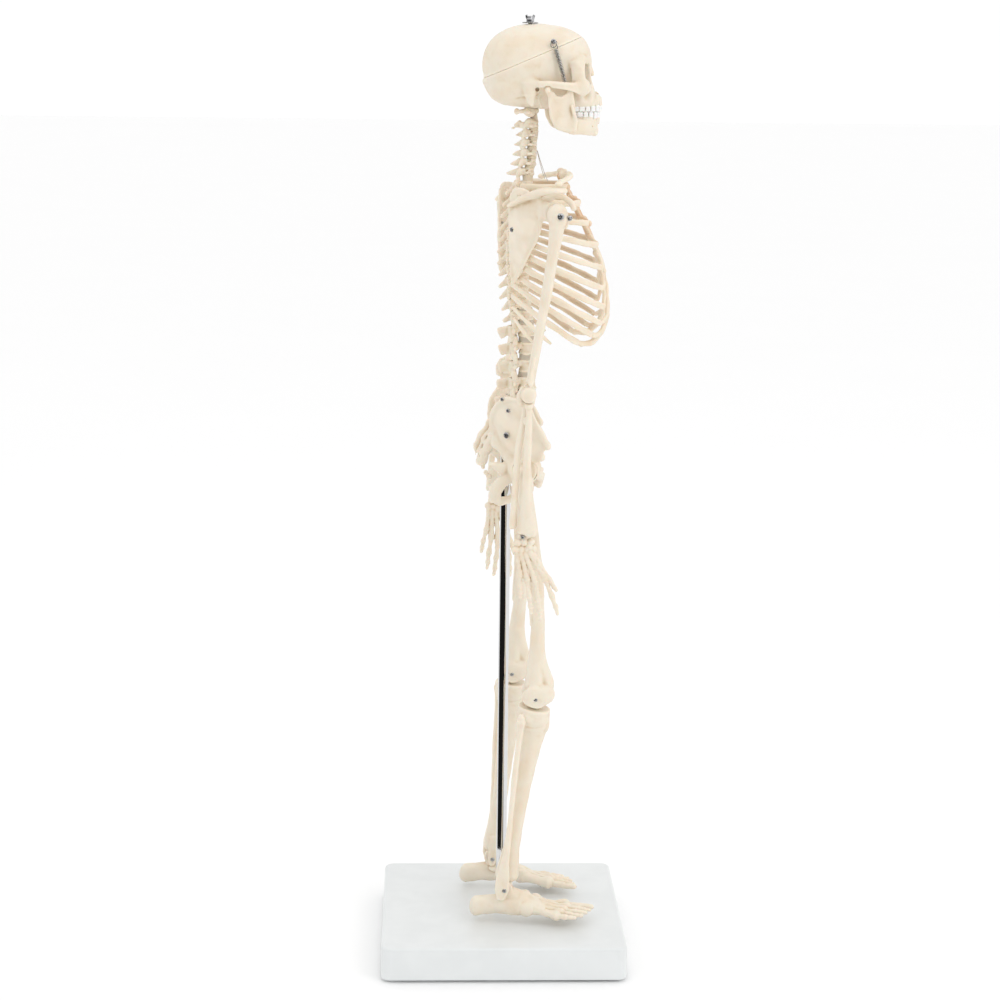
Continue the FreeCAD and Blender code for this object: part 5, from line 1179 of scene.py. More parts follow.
ARM_OUT = 5                          # the elbow's middle outwards of the shoulder pivot
HAND_TURN = {"right": 0, "left": 15} # degrees
ELBOW_SLOT, ELBOW_PLAY = 6.6, 0.45   # width of the slot, and the gap on each side in it


def limb(side_name, first, second):
    """A limb bone's upper joint, its length to the lower joint, and its turn about X."""
    start, end = joint_at(f"{side_name}_{first}"), joint_at(f"{side_name}_{second}")
    run = end - start
    return start, sqrt(run.y ** 2 + run.z ** 2), Matrix.Rotation(atan2(run.y, -run.z), 4, "X")


def humerus_form(length):
    out = ARM_OUT
    form = Form((-12, -12, -length - 10), (24, 14, 14), STEP)
    form.egg((0, 2.2, 0.6), (8.8, 8.8, 9.2))
    form.tube([(2, 1.5, -4, 8.2, 7.4), (4.6, 1, -11, 7.4, 6.6), (5, 0.6, -20, 5.8, 5.6),
               (5, 0.3, -34, 4.9, 4.7), (5.2, 0, -60, 4.7, 4.4), (5, 0, -95, 4.5, 4.2),
               (5, 0, -118, 5.2, 4.0), (5, 0, -132, 7.6, 3.9), (5, 0, -142, 10.6, 4.0)], (1, 0, 0),
              soft=3)
    form.egg((7.8, -1.0, -3.5), (4.4, 5.4, 6.2), soft=3)
    form.egg((1.6, -6.2, -6.0), (2.4, 2.6, 4.2), soft=2)
    form.drum((5.2, -7.6, -4), (5.0, -6.0, -30), 1.0, 0.3, soft=1.4, cut=True)
    form.egg((8.0, -1.4, -62), (2.6, 2.4, 13), soft=3)
    form.tube([(12, 0.6, -122, 1.0), (14.6, 0.4, -136, 1.5), (16.6, 0, -144, 2.0)], soft=3)
    form.tube([(-1.5, 0.6, -126, 1.0), (-5.2, 0.6, -138, 1.8), (-7.6, 0.8, -145, 2.8)], soft=3)
    form.drum((out - 12.4, 0, -length), (out + 12.4, 0, -length), 6.2, 1.0, soft=2.5)
    for rim in (out - 7.0, out + 4.6):
        form.drum((rim - 1.2, 0, -length), (rim + 1.2, 0, -length), 6.9, 0.8, soft=1.2)
    form.egg((out + 11.6, 0, -length + 1.0), (2.8, 6.0, 6.6), soft=1.5)
    form.egg((out - 11.6, 0, -length + 1.0), (3.4, 5.6, 6.4), soft=1.5)
    form.egg((out, 4.8, -length + 12.5), (4.2, 3.2, 4.8), soft=1.5, cut=True)
    form.egg((out, -4.6, -length + 11.5), (3.6, 2.4, 3.6), soft=1.5, cut=True)
    form.slab((out, 0, -length), (ELBOW_SLOT / 2, 9, 8.2), edge=0.4, cut=True)
    return form.wobble(0.16, 20, 800)


def ulna_form(length):
    form = Form((-8, -12, -length - 6), (12, 18, 13), STEP)
    half = ELBOW_SLOT / 2 - ELBOW_PLAY
    form.drum((-half, 0, 0), (half, 0, 0), 5.9, 0.8)
    form.tube([(0, 5.2, 4.6, 2.6, 2.4), (0, 7.2, -1, 2.7, 2.8), (0.6, 6.4, -7.5, 3.0, 3.0)],
              ACROSS, soft=1.4)
    form.tube([(0, -5.0, -4.2, 2.4, 1.5), (0.2, -3.4, -8.4, 2.8, 2.2)], ACROSS, soft=1.5)
    form.tube([(0.8, 0.8, -8.8, 3.2, 4.4), (0, 1.4, -14, 3.0, 3.4), (-1.2, 3.5, -26, 2.9, 2.9),
               (-2, 6.6, -48, 3.0, 3.0), (-2.6, 7.4, -68, 3.0, 3.0), (-3.2, 8.0, -95, 2.8, 2.9),
               (-3.5, 8.4, -108, 2.9, 3.0), (-3.5, 8.4, -116, 3.2, 3.4)], ACROSS, soft=1.5)
    form.egg((-3.8, 10.2, -117.6), (1.2, 1.3, 2.2), soft=1.2)
    return form.wobble(0.12, 16, 810)


def radius_form(length):
    form = Form((-8, -15, -length - 6), (16, 12, -4), STEP)
    form.drum((6.2, -0.5, -7.2), (6.2, -0.5, -11.2), 3.7, 0.8)
    form.tube([(6.2, -0.5, -11, 2.7, 2.7), (5.8, -0.8, -17, 2.6, 2.5), (5.0, -1.2, -22, 3.2, 2.8),
               (4.2, -1.2, -38, 3.2, 3.4), (3.6, -1.2, -62, 3.4, 3.6), (2.4, -1.6, -84, 3.6, 3.9),
               (1.2, -2.4, -100, 4.4, 5.2), (0.4, -3.4, -112, 5.8, 7.6),
               (0.2, -3.8, -119.0, 6.8, 8.6)], ACROSS, soft=1.2)
    form.egg((2.4, 1.6, -22.6), (2.0, 2.0, 3.4), soft=2)
    form.egg((3.4, -9.6, -121), (2.2, 2.4, 3.0), soft=1.8)
    form.egg((0, -0.6, -length + 0.4), (5.4, 3.4, 3.0), soft=1, cut=True)
    return form.wobble(0.12, 16, 820)


# Hand bones from the wrist down: each finger's joints as (y, z), thumb first, how far each
# joint curls towards the body, and the wrist bones as (y, z, half size).
FINGERS = [[(-5.6, -9), (-14.5, -24.5), (-23.5, -39), (-30.5, -49.5)],
           [(-6.2, -13.5), (-19.5, -37.5), (-26.5, -54), (-30.0, -64), (-31.8, -71)],
           [(-2.4, -14.5), (-11.5, -40), (-14.5, -57.5), (-16.0, -67.5), (-16.8, -74.4)],
           [(1.2, -14), (-4.5, -38.5), (-6.6, -54.5), (-8.0, -64), (-9.0, -70.4)],
           [(4.2, -12.8), (1.6, -34.5), (1.6, -45.5), (0.9, -51.5), (0.6, -56.6)]]
CURL = (0, -1.6, -2.6, -3.4, -3.6)
CARPALS = [(-7.0, -6.0, 3.8), (-1.0, -5.4, 3.9), (4.4, -6.0, 3.6), (-9.0, -11.6, 3.7),
           (-3.8, -12.0, 3.8), (1.2, -12.0, 3.8), (5.6, -11.6, 3.6)]


def hand_form():
    form = Form((-8, -38, -80), (9, 13, 8), HAND_STEP)
    form.drum((-1.9, 0, 0), (1.9, 0, 0), 3.2, 0.6)
    form.slab((0, -0.2, -3), (1.9, 3.2, 2.6), edge=0.6, soft=0.8)
    for y, z, size in CARPALS:
        form.egg((0.2 * (y + 1), y, z), (3.9, size, size), soft=0.5)
    for f, joints in enumerate(FINGERS):
        last = len(joints) - 2
        for i, ((y0, z0), (y1, z1)) in enumerate(zip(joints, joints[1:])):
            a, b = np.array((0.0, y0, z0)), np.array((0.0, y1, z1))
            run = unit(b - a)
            a[0], b[0] = CURL[i], CURL[i + 1]
            a, b = a + run * 0.75, b - run * 0.75
            r = 3.5 - 0.34 * i - (0.35 if f == 4 else 0)
            form.tube([(*a, r), (*(a * 0.7 + b * 0.3), r * 0.68), (*(a * 0.5 + b * 0.5), r * 0.62),
                       (*(a * 0.25 + b * 0.75), r * 0.66), (*b, r * (0.62 if i == last else 0.86))],
                      soft=0.3)
    return form.wobble(0.2, 7, 830)


def grow_arms():
    skins = None
    for name, side in SIDES.items():
        shoulder, arm_length, arm_turn = limb(name, "shoulder_swing", "elbow_bend")
        elbow, forearm_length, forearm_turn = limb(name, "elbow_bend", "wrist_tilt")
        wrist = joint_at(name + "_wrist_tilt")
        if skins is None:
            skins = [humerus_form(arm_length).skin(2), ulna_form(forearm_length).skin(2),
                     radius_form(forearm_length).skin(2), hand_form().skin(2, 1.6)]
        middle = side * (abs(shoulder.x) + ARM_OUT)
        arm = Matrix.Translation(shoulder) @ arm_turn
        forearm = Matrix.Translation((middle, elbow.y, elbow.z)) @ forearm_turn
        hand = placed((middle, wrist.y, wrist.z), "X", HAND_TURN[name])
        grow_limb(name, [("upper_arm_bone", "upper_arm", "humerus", skins[0], arm),
                         ("ulna_bone", "forearm", "ulna", skins[1], forearm),
                         ("radius_bone", "forearm", "radius", skins[2], forearm),
                         ("hand_bones", "hand", "hand", skins[3], hand)])


# ---- legs ------------------------------------------------------------------------------

FOOT_TURN = {"right": -5, "left": -10}       # degrees about Z
KNEE_SLOT, KNEE_PLAY = 8.6, 0.5      # width of the slot, and the gap on each side in it


def femur_form(length):
    form = Form((-20, -22, -length - 14), (26, 17, 14), STEP)
    form.egg((0, 0, 0), (11.0, 11.0, 11.0))
    form.drum((0, 0, 0), (8.2, 0, 0), 10.95, 1.4, soft=0.5)
    form.tube([(3, 0, -0.5, 6.6, 6.2), (9, 0, -3.5, 6.0, 5.6), (15, 1, -9, 7.4, 6.8)], (0, 1, 0),
              soft=2.5)
    form.tube([(15.6, 1.5, -4, 5.6, 6.2), (16, 1, -12, 7.6, 7.0), (15, 0.3, -25, 7.4, 6.8),
               (13.2, -2, -42, 6.5, 6.3), (10.8, -4.2, -62, 6.2, 6.0), (7.2, -6.4, -103, 6.0, 5.9),
               (4.4, -6, -135, 6.3, 6.0), (2.4, -4.2, -160, 7.8, 6.6), (1.0, -2.6, -178, 11.4, 8.2),
               (0.2, -1, -194, 15.4, 9.4)], ACROSS, soft=4)
    form.egg((17.5, 3.6, -1.5), (4.6, 5.4, 7.0), soft=3)
    form.egg((8.2, 7.0, -20), (3.6, 3.0, 4.2), soft=3)
    form.tube([(13, 6.6, -8, 1.6), (9.5, 7.2, -19, 1.6)], soft=3)
    form.tube([(11.5, 2.8, -50, 0.9), (8.0, 0.2, -100, 1.0), (5.2, 1.0, -140, 0.8)], soft=2.5)
    for way in (-1, 1):
        form.drum((way * 4.6, -1, -length + 0.6), (way * 16.6, -1, -length + 0.6), 9.8, 3.0,
                  soft=3.5)
        form.egg((way * 14.8, 2.0, -length + 5), (3.6, 6.5, 6.5), soft=3)
        form.egg((way * 10.6, 3.2, -length + 0.8), (5.8, 8.6, 9.0), soft=2)
    form.slab((0, 9.5, -length - 8), (KNEE_SLOT / 2, 19, 17.4), edge=1.2, soft=0.8, cut=True)
    # rollers reaching forwards, and the groove's raised front
    for out in (-9.5, 9.5):
        form.egg((out, -7.0, -length + 2.4), (7.4, 10.6, 9.8), soft=2.5)
    form.tube([(0, -5.0, -length + 38, 8.0, 5.0), (0, -8.0, -length + 24, 9.6, 6.0),
               (0, -11.5, -length + 11, 9.6, 6.0), (0, -12.5, -length + 3, 8.0, 4.6)], (1, 0, 0),
              soft=3)
    return form.wobble(0.16, 26, 900)


def tibia_form(length):
    form = Form((-20, -18, -length - 12), (20, 18, 12), STEP)
    half = KNEE_SLOT / 2 - KNEE_PLAY
    form.drum((-half, 0, 0), (half, 0, 0), 8.6, 1.2)
    form.slab((0, 0.4, -9), (half, 7, 7.5), edge=1, soft=1)
    form.tube([(0, -1.4, -12.8, 17.0, 14.6), (0, -1.6, -18, 16.2, 14.6), (0, -2.2, -26, 12.2, 13.2),
               (-0.4, -2.6, -36, 9.4, 11.2), (-0.8, -2.6, -54, 7.6, 9.0), (-1, -2.0, -82, 6.6, 7.6),
               (-1, -1.4, -118, 5.8, 6.8), (-1, -1.2, -145, 6.4, 7.4), (-1.2, -1.2, -160, 7.6, 9.2),
               (-1.4, -1.2, -171.5, 8.4, 10.8)], ACROSS, soft=2)
    # the flat top, and the knee's tongue again, which the cut has gone through
    form.slab((0, 0.8, -7.2), (22, 19, 4.1), edge=0.5, soft=1, cut=True)
    form.drum((-half, 0, 0), (half, 0, 0), 8.6, 1.2)
    form.slab((0, 0.4, -9), (half, 6.5, 6), edge=1, soft=1)
    form.egg((-0.6, -14.4, -27), (4.2, 3.0, 6.5), soft=3)
    form.tube([(-0.8, -13.0, -36, 1.2), (-1.6, -10.6, -60, 1.0), (-1.4, -7.8, -100, 0.9),
               (-1.2, -5.8, -135, 0.7)], soft=3)
    form.egg((13.5, 4.5, -19), (3.4, 4.6, 4.0), soft=3)
    form.tube([(-7.6, 0, -164, 3.8, 3.2), (-9.0, 0, -175, 4.2, 2.6), (-9.5, 0, -length, 4.4, 2.1),
               (-9.4, 0.3, -length - 5.6, 2.8, 1.8)], AHEAD, soft=1.6)
    form.drum((-7.0, 0, -length), (7.6, 0, -length), 8.1, 0.4, soft=0.5, cut=True)
    return form.wobble(0.16, 24, 910)


def fibula_form(length):
    form = Form((2, -10, -length - 14), (24, 18, -12), STEP)
    form.tube([(17, 9.5, -18.5, 2.6, 2.2), (17, 9.5, -23, 4.2, 3.6), (16.2, 9.2, -30, 3.0, 2.8),
               (15, 8.6, -42, 2.6, 2.5), (13.6, 7.2, -75, 2.6, 2.4), (12.4, 5.2, -112, 2.5, 2.3),
               (11.2, 3.2, -145, 2.7, 2.4), (10.2, 3.4, -158, 3.8, 2.6), (9.7, 3.2, -172, 6.2, 2.4),
               (9.5, 2.4, -length, 6.8, 2.1), (9.6, 1.8, -length - 8.4, 4.2, 1.8)], (0, 1, 0),
              soft=1)
    form.egg((17.2, 10.6, -17.6), (1.6, 2.0, 2.4), soft=1.5)
    form.drum((5, 0, -length), (7.8, 0, -length), 8.2, 0.3, soft=0.4, cut=True)
    return form.wobble(0.14, 20, 920)


# Toe rays, great toe first: joints as (out, forward y, height under the ankle).
TOES = [[(-6.5, -31, -17), (-10.6, -55.5, -20.4), (-11.6, -69, -21.4), (-12.2, -81, -22)],
        [(-2.6, -33, -16.0), (-3.8, -58, -20.0), (-4.0, -68, -21.0), (-4.1, -74.5, -21.8),
         (-4.2, -79.5, -22)],
        [(0.6, -32.5, -16.2), (2.0, -56, -20.2), (2.6, -65.5, -21.2), (2.9, -71.5, -21.8),
         (3.0, -76, -22)],
        [(3.8, -31, -17.2), (7.4, -53, -20.8), (8.6, -62, -21.6), (9.2, -67.5, -22),
         (9.6, -72, -22)],
        [(7.0, -29, -19.0), (12.6, -49, -21.8), (14.2, -57.5, -22.0), (15.0, -62.5, -22.2),
         (15.6, -66.5, -22.2)]]
TOE_SIZES = (4.3, 3.3, 3.2, 3.2, 3.5)


def foot_form():
    form = Form((-22, -90, -33), (24, 36, 12), FOOT_STEP)
    # ankle bone
    form.drum((-5.7, 0, 0), (5.7, 0, 0), 7.3, 1.2)
    form.egg((0, -2.5, -5.5), (6.4, 9.0, 5.6), soft=2)
    form.tube([(-0.6, -8, -7, 5.2), (-1.6, -15, -9.5, 5.4)], soft=2)
    # heel bone
    form.tube([(0.4, 23.5, -18.6, 7.4, 9.4), (0.4, 18, -18.0, 7.2, 9.2), (0.8, 8, -16.6, 6.8, 8.8),
               (2.4, -4, -16.6, 7.2, 8.4), (4.6, -14, -17.2, 7.0, 8.0)], ACROSS, soft=2)
    form.egg((0.4, 25.5, -21.0), (6.8, 5.6, 7.4), soft=2)
    form.egg((-5.4, -3, -11.0), (4.0, 6.0, 3.2), soft=1.5)
    # middle of the foot
    form.tube([(-0.6, -4, -6.5, 5.6, 5.0), (-0.6, -16, -11.5, 9.0, 7.4), (0, -27, -15.6, 11.0, 6.4),
               (0.4, -36, -18.4, 11.4, 4.6)], ACROSS, soft=2.5)
    form.egg((-2.8, -19.4, -12.2), (8.8, 6.0, 7.8), spin("X", 12), soft=1.2)
    form.egg((6.6, -21.5, -17.8), (7.2, 8.6, 7.4), soft=1.0)
    for x, size in ((-7.4, 4.8), (-2.2, 4.1), (2.2, 4.1)):
        form.egg((x, -28.4, -15.8), (size * 0.9, 7.0, size + 2.2), spin("X", 14), soft=1.4)
    for joints, size in zip(TOES, TOE_SIZES):
        for i, (a, b) in enumerate(zip(joints, joints[1:])):
            a, b = np.array(a, float), np.array(b, float)
            run = unit(b - a)
            a, b = a + run * 0.7, b - run * 0.7
            # the first bone of a ray is the long one, with a slimmer waist
            r, waist, end = (size * (1.0 - 0.12 * i), 0.78, 0.8) if i else (size * 1.42, 0.7, 0.98)
            form.tube([(*a, r), (*(a * 0.7 + b * 0.3), r * waist),
                       (*(a * 0.3 + b * 0.7), r * waist), (*b, r * end)], soft=0.4)
    form.egg((-9.6, -53.5, -23.2), (1.6, 2.2, 1.4), soft=0.6)
    return form.wobble(0.35, 12, 930)


def grow_legs():
    skins = None
    for name in SIDES:
        hip, thigh_length, thigh_turn = limb(name, "hip_swing", "knee_bend")
        knee, shank_length, shank_turn = limb(name, "knee_bend", "ankle_tilt")
        ankle = joint_at(name + "_ankle_tilt")
        if skins is None:
            skins = [femur_form(thigh_length).skin(2), tibia_form(shank_length).skin(2),
                     fibula_form(shank_length).skin(2), foot_form().skin(2, 2.0)]
        thigh = Matrix.Translation(hip) @ thigh_turn
        shank = Matrix.Translation(knee) @ shank_turn
        foot = placed(ankle, "Z", FOOT_TURN[name])
        grow_limb(name, [("thigh_bone", "thigh", "femur", skins[0], thigh),
                         ("shin_bone", "shank", "tibia", skins[1], shank),
                         ("calf_bone", "shank", "fibula", skins[2], shank),
                         ("foot_bones", "foot", "foot", skins[3], foot)])


# ---- hardware --------------------------------------------------------------------------

WIRE_SIDES = 8
# rings at a wire's ends: how wide, and how far beyond the end in radii, so that it closes
# without a flat lid
ROUNDED_START, ROUNDED_END = [(0.05, -0.9), (0.7, -0.6), (1, 0)], [(1, 0), (0.7, 0.6), (0.05, 0.9)]


def wire_mesh(name, paths, radius):
    """One mesh of round wires along rows of points, with closed ends."""
    points, faces, base, sides = [], [], 0, WIRE_SIDES
    for path in paths:
        p = np.array(path, float)
        ahead = np.gradient(p, axis=0)
        ahead /= np.linalg.norm(ahead, axis=1)[:, None]
        across = unit(np.cross(ahead[0], (0.31, 0.52, 0.79)))
        for i, (q, t) in enumerate(zip(p, ahead)):
            across = unit(across - t * np.dot(across, t))
            other = np.cross(t, across)
            rings = ROUNDED_START if i == 0 else ROUNDED_END if i == len(p) - 1 else [(1, 0)]
            for shrink, shift in rings:
                for a in range(sides):
                    turn = 2 * pi * a / sides
                    points.append(q + t * shift * radius
                                  + (across * cos(turn) + other * sin(turn)) * radius * shrink)
        count = len(p) + 4
        for r in range(count - 1):
            for a in range(sides):
                b = (a + 1) % sides
                faces.append((base + r * sides + a, base + r * sides + b,
                              base + (r + 1) * sides + b, base + (r + 1) * sides + a))
        # lids
        for r, flip in ((0, True), (count - 1, False)):
            ring = [base + r * sides + a for a in range(sides)]
            for a in range(1, sides // 2):
                quad = (ring[a - 1], ring[a], ring[-a - 1], ring[-a])
                faces.append(quad[::-1] if flip else quad)
        base += count * sides
    return fast_mesh(name, np.array(points), np.array(faces))


CROSS_TURN = 28                      # degrees that a screw's cross is turned by
SLOT_TURN = 0.5                      # radians that a pin's slot is turned by


def along_axis(axis):
    """The rotation that turns Z onto an axis."""
    return Vector((0, 0, 1)).rotation_difference(Vector(axis)).to_matrix()


def grow_screw(name, tip, axis, length, shank, head, body, nodes, dome=1.6):
    """A screw from its tip to its domed head, with a cross in it. The axis runs that way."""
    form = Form((-head - 1, -head - 1, -1), (head + 1, head + 1, length + dome + 1.2), SCREW_STEP)
    form.drum((0, 0, 0), (0, 0, length + 0.4), shank, 0.3)
    form.egg((0, 0, length), (head, head, dome), soft=0.2)
    # the dome's lower half goes, and the shank is made good where that cut it
    form.slab((0, 0, length - 2), (head + 1, head + 1, 1.98), edge=0.01, cut=True)
    form.drum((0, 0, 0), (0, 0, length + 0.4), shank, 0.3)
    form.drum((0, 0, length - 0.05), (0, 0, length + 0.5), head, 0.2)
    for halves in ((head * 0.62, 0.34, 1.1), (0.34, head * 0.62, 1.1)):
        form.slab((0, 0, length + dome + 0.4), halves, edge=0.1, cut=True)
    cross = Matrix.Rotation(radians(CROSS_TURN), 4, "Z")
    place = Matrix.Translation(tip) @ along_axis(axis).to_4x4() @ cross
    grow(name, form.skin(1), body, ZINC, nodes, place=place)


def box_mm(node):
    return [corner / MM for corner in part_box(node)]


def grow_pin(node, body):
    """A pin across a joint where its CAD solid is, with rounded and slotted ends."""
    low, high = box_mm(node)
    middle, half, radius = (low + high) / 2, (high.x - low.x) / 2, (high.z - low.z) / 2
    form = Form((0, -radius - 1, -radius - 1), (half + 2, radius + 1, radius + 1), METAL_STEP,
                halved=True)
    form.drum((-half, 0, 0), (half, 0, 0), radius, 0.2)
    form.egg((half, 0, 0), (0.9, radius * 0.98, radius * 0.98))
    form.slab((half + 0.9, 0, 0), (0.7, radius * 1.3, 0.32), edge=0.05, cut=True)
    grow(node + "_piece", form.skin(1), body, ZINC, [node],
         place=Matrix.Translation(middle) @ Matrix.Rotation(SLOT_TURN, 4, "X"))


TEMPLE = (28.6, -35.5, 823.0)        # where the temple screw enters the skull cap
SPRING_TOP, SPRING_END = Vector((34.6, -37.6, 817.5)), Vector((36.2, -46.2, 789.0))
SPRING_BOW = 1.6                     # how far the middle of the coil stands out
COIL_RADIUS, WIRE_RADIUS, TURNS, TURN_POINTS = 1.75, 0.42, 23, 14
EYE = Vector(TEMPLE) + Vector((5.2, -0.5, -1.2))       # middle of the loop round the screw
EYE_HALVES, EYE_POINTS = (2.5, 3.2), 18
JAW_HOOK = [Vector((35.4, -48.6, 783.0)), Vector((33.2, -50.4, 781.5))]


def spring_path():
    """A loop round the temple screw, the coil, and a hook into the jaw."""
    run = (SPRING_END - SPRING_TOP).normalized()
    across = run.cross(Vector((1, 0, 0))).normalized()
    other = run.cross(across)
    coil, count = [], TURNS * TURN_POINTS
    for i in range(count + 1):
        turn = 2 * pi * i / TURN_POINTS
        bow = Vector((SPRING_BOW, 0, 0)) * sin(pi * i / count)
        coil.append(SPRING_TOP + (SPRING_END - SPRING_TOP) * (i / count) + bow
                    + (across * cos(turn) + other * sin(turn)) * COIL_RADIUS)
    upright = Vector((0.12, -0.18, 1)).normalized()
    loop = []
    for i in range(EYE_POINTS + 1):
        turn = radians(-250 + 320 * i / EYE_POINTS)
        loop.append(EYE + Vector((0, 1, 0)) * EYE_HALVES[0] * cos(turn)
                    + upright * EYE_HALVES[1] * sin(turn))
    lead_in = bezier([loop[-1], loop[-1] + (loop[-1] - loop[-2]) * 2,
                      coil[0] - (coil[1] - coil[0]) * 2, coil[0]], 7)
    hook = bezier([coil[-1], coil[-1] + (coil[-1] - coil[-2]) * 2,
                   SPRING_END + Vector((0.6, -0.6, -2.4)), *JAW_HOOK], 9)
    return [tuple(p) for p in loop + lead_in[1:-1] + coil + hook[1:]]


def grow_springs():
    path, top, end = spring_path(), SPRING_TOP * MM, SPRING_END * MM
    for name, side in SIDES.items():
        mesh = wire_mesh(name + "_spring_coil", [[(side * x, y, z) for x, y, z in path]],
                         WIRE_RADIUS)
        piece = add_piece(mesh.name, mesh, None, STEEL, [name + "_jaw_spring"])
        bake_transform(piece)
        grow_screw(name + "_temple_screw", (side * TEMPLE[0], TEMPLE[1], TEMPLE[2]),
                   (side, 0, 0.12), 6.0, 1.1, 2.3, "cap", ["temple_screws"])


BOLT_HOLE = 2.06                     # radius of the bolt's hole in the nut and the washer


def grow_nut():
    low, high = box_mm("wing_nut")
    base, top = low.z, high.z - 0.3
    form = Form((-8, BOLT_Y - 8, base - 1), (8, BOLT_Y + 8, top + 2), NUT_STEP)
    form.tube([(0, BOLT_Y, base + 1.6, 3.3), (0, BOLT_Y, top - 3.0, 2.6)])
    form.drum((0, BOLT_Y, base), (0, BOLT_Y, base + 2.4), 3.5, 0.3, soft=0.4)
    for way in (-1, 1):
        form.tube([(0, BOLT_Y + way * 1.6, base + 1.8, 1.3, 0.95),
                   (0, BOLT_Y + way * 2.6, base + 3.8, 1.4, 0.75),
                   (0, BOLT_Y + way * 3.2, top - 1.2, 1.2, 0.7)], (0, 1, 0.3), soft=0.6)
    form.slab((0, BOLT_Y, base - 3), (9, 9, 3), edge=0.05, cut=True)
    form.drum((0, BOLT_Y, base - 1), (0, BOLT_Y, top + 3), BOLT_HOLE, 0.1, cut=True)
    grow("wing_nut_piece", form.skin(1), "nut", ZINC, ["wing_nut"])


def grow_washer():
    low, high = box_mm("cap_washer")
    (x, y, _), radius = (low + high) / 2, (high.x - low.x) / 2
    form = Form((x - radius - 1, y - radius - 1, low.z - 1),
                (x + radius + 1, y + radius + 1, high.z + 1), METAL_STEP)
    form.drum((x, y, low.z), (x, y, high.z), radius, 0.3)
    form.drum((x, y, low.z - 1), (x, y, high.z + 1), BOLT_HOLE, 0.1, cut=True)
    grow("washer_piece", form.skin(1), "cap", ZINC, ["cap_washer"])


SMALL_SCREWS = {
    # name: tip and axis (out, y, z), length, shank, head, node
    "shoulder_blade_screw": ((41, -4.4, 664), (0.616, 0.788, 0), 3.4, 1.1, 2.3, "scapula_screws"),
    "hip_crest_screw": ((40.2, 1.6, 516), (0.77, 0.64, 0), 5.6, 1.1, 1.9, "pelvis_screws"),
    "hip_back_screw": ((44.6, -3.4, 506.5), (0.77, 0.64, 0), 5.6, 1.1, 1.9, "pelvis_screws"),
    "hip_wing_screw": ((40.5, -2.5, 484), (0.77, 0.64, 0), 6.0, 1.2, 2.9, "pelvis_screws"),
}
JOINT_PINS = {"elbow": "upper_arm", "wrist": "forearm", "knee": "thigh", "ankle": "shank"}
KEPT_NODES = {"base_plinth": WHITE, "base_feet": RUBBER, "support_rod": CHROME, "rod_nut": ZINC,
              "spine_core": STEEL}
NECK_WIRE = [(3, -24.6, 730), (12, -27.5, 719), (22, -31, 709), (26.5, -33, 704.5)]


def grow_trunk_screws(side_name, side):
    for name, (tip, axis, length, shank, head, node) in SMALL_SCREWS.items():
        lag = shoulder_lag(side) if node == "scapula_screws" else 0
        grow_screw(f"{side_name}_{name}", (side * tip[0], tip[1] + lag, tip[2]),
                   (side * axis[0], axis[1], axis[2]), length, shank, head, "trunk", [node])
    # the shoulder and hip screws, on which the limbs swing
    for part in ("shoulder", "hip"):
        node, at = f"{side_name}_{part}_screw", joint_at(f"{side_name}_{part}_swing")
        inner, outer = sorted(abs(corner.x) for corner in box_mm(node))
        grow_screw(node + "_piece", (side * inner, at.y, at.z), (side, 0, 0), outer - inner - 2.0,
                   1.95, 3.0, "trunk", [node], dome=2.0)
    # a stud in the upper arm, next to the shoulder screw
    at = joint_at(f"{side_name}_shoulder_swing")
    grow_screw(f"{side_name}_shoulder_stud", (at.x + side * 2.0, at.y - 5.4, at.z - 1.2),
               (side, -0.55, -0.1), 5.4, 1.3, 2.5, f"{side_name}_upper_arm", [], dome=2.0)


def grow_hardware():
    for node, material in KEPT_NODES.items():
        data = frame["nodes"][node].data
        data.materials.clear()
        data.materials.append(material)
    for side_name in SIDES:
        for part, body in JOINT_PINS.items():
            grow_pin(f"{side_name}_{part}_pin", f"{side_name}_{body}")
    grow_springs()
    grow_nut()
    grow_washer()
    for side_name, side in SIDES.items():
        grow_trunk_screws(side_name, side)
    wires = [bezier([(side * x, y, z) for x, y, z in NECK_WIRE], 12) for side in (LEFT, RIGHT)]
    add_piece("neck_wires", wire_mesh("neck_wires", wires, 0.3), "trunk", STEEL)


# ---- everything ------------------------------------------------------------------------

grow_skull()
grow_jaw()
grow_spine()
grow_ribs()
grow_breastbone()
grow_cartilages()
grow_girdle()
grow_sacrum()
grow_hip_bones()
grow_arms()
grow_legs()
grow_hardware()


# ---- studio ----------------------------------------------------------------------------

CAMERA_AT = (-1.9884, 0.0728, 0.8062)      # metres
CAMERA_YAW, CAMERA_PITCH, CAMERA_ROLL = -1.96, -11.06, 0.62      # degrees from +X
CAMERA_LENS, SENSOR_WIDTH = 80.7, 36


def make_camera():
    yaw, pitch, roll = (radians(a) for a in (CAMERA_YAW, CAMERA_PITCH, CAMERA_ROLL))
    ahead = Vector((cos(pitch) * cos(yaw), cos(pitch) * sin(yaw), sin(pitch)))
    flat_right = ahead.cross(Vector((0, 0, 1))).normalized()
    flat_up = flat_right.cross(ahead)
    right = flat_right * cos(roll) + flat_up * sin(roll)
    up = flat_up * cos(roll) - flat_right * sin(roll)
    data = bpy.data.cameras.new("camera")
    data.lens, data.sensor_width = CAMERA_LENS, SENSOR_WIDTH
    data.clip_end = 50
    camera = add_object("camera", data)
    turn = Matrix((right, up, -ahead)).transposed().to_4x4()
    camera.matrix_world = Matrix.Translation(CAMERA_AT) @ turn
    bpy.context.scene.camera = camera


def make_light(name, at, size, power):
    data = bpy.data.lights.new(name, "AREA")
    data.shape, data.size, data.energy = "SQUARE", size, power
    lamp = add_object(name, data)
    lamp.location = at
    lamp.rotation_euler = (Vector(LAMP_AIM) - Vector(at)).to_track_quat("-Z", "Y").to_euler()


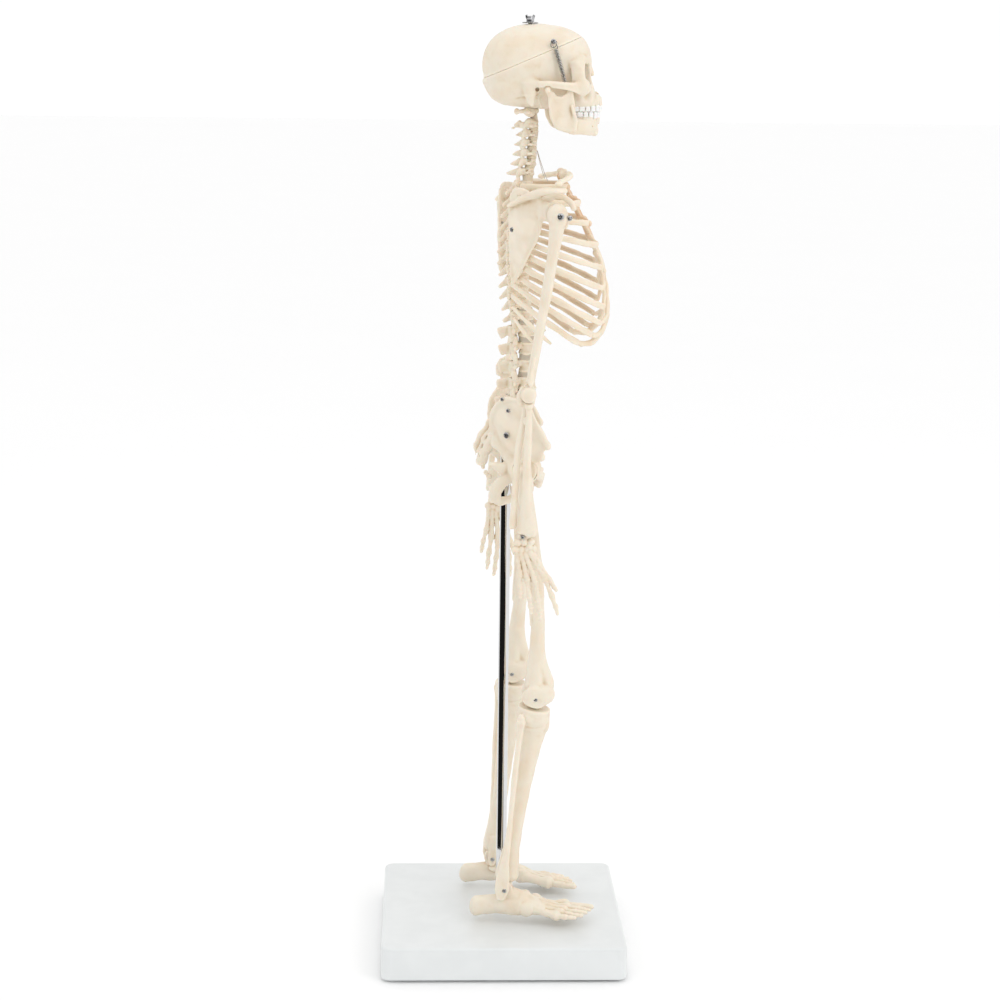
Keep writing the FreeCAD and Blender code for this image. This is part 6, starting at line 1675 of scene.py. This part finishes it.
def make_stage(name, surface, points, faces, first, second, noise_mm, **shading):
    """A part of the studio, from points in metres."""
    mesh = fast_mesh(name, np.array(points) / MM, np.array(faces))
    n = Nodes(surface)
    mesh.materials.append(n.shade(Base_Color=n.mix(n.noise(noise_mm, 2), first, second), **shading))
    thing = add_object(name, mesh)
    return thing


# A dark card round the camera's side, seen only in reflections: it draws the dark bands
# on the rod and the screws.
CARD_PROFILE = [(0.24, 0.0015), (2.6, 0.0015), (2.9, 0.3), (3.0, 2.2)]      # distance, height
CARD_SPAN = (-34, 104)               # degrees from -X towards +Y
CARD_COLUMNS = 24
LAMP_AIM = (0, 0, 0.5)
WORLD_LIGHT, WORLD_SEEN = 1.0, 1.02  # strength of the white surroundings as light and as seen
FLOOR_HALF, FLOOR_Z = 30.0, -0.0003  # metres


def make_card():
    rows, count = [], CARD_COLUMNS
    for distance, height in CARD_PROFILE:
        for i in range(count + 1):
            turn = radians(CARD_SPAN[0] + (CARD_SPAN[1] - CARD_SPAN[0]) * i / count)
            rows.append((-distance * cos(turn), distance * sin(turn), height))
    faces = []
    for r in range(len(CARD_PROFILE) - 1):
        for first in range(r * (count + 1), r * (count + 1) + count):
            faces.append((first, first + 1, first + count + 2, first + count + 1))
    card = make_stage("reflected_card", "card_black", rows, faces, (0.01,) * 3, (0.015,) * 3, 300,
                      Roughness=1.0, Specular_IOR_Level=0.0)
    card.visible_camera = card.visible_diffuse = card.visible_shadow = False
    card.visible_transmission = False


def make_world():
    world = bpy.data.worlds.new("studio")
    bpy.context.scene.world = world
    world.use_nodes = True
    tree = world.node_tree
    background = tree.nodes["Background"]
    background.inputs["Color"].default_value = (1, 1, 1, 1)
    seen = tree.nodes.new("ShaderNodeLightPath").outputs["Is Camera Ray"]
    strength = tree.nodes.new("ShaderNodeMapRange")
    strength.inputs["To Min"].default_value = WORLD_LIGHT
    strength.inputs["To Max"].default_value = WORLD_SEEN
    tree.links.new(seen, strength.inputs["Value"])
    tree.links.new(strength.outputs["Result"], background.inputs["Strength"])


def make_studio():
    make_world()
    make_light("key", (-1.6, -1.5, 2.2), 1.0, 8)
    make_light("fill", (-1.5, 1.8, 1.2), 1.4, 1)
    make_light("top", (0.4, 0, 2.6), 1.5, 2)
    half, z = FLOOR_HALF, FLOOR_Z
    corners = [(-half, -half, z), (half, -half, z), (half, half, z), (-half, half, z)]
    make_stage("floor", "floor_paper", corners, [(0, 1, 2, 3)], (0.99,) * 3, (0.98,) * 3, 400,
               Roughness=0.9)
    make_card()
    bpy.context.scene.view_settings.view_transform = "Standard"


make_camera()
make_studio()
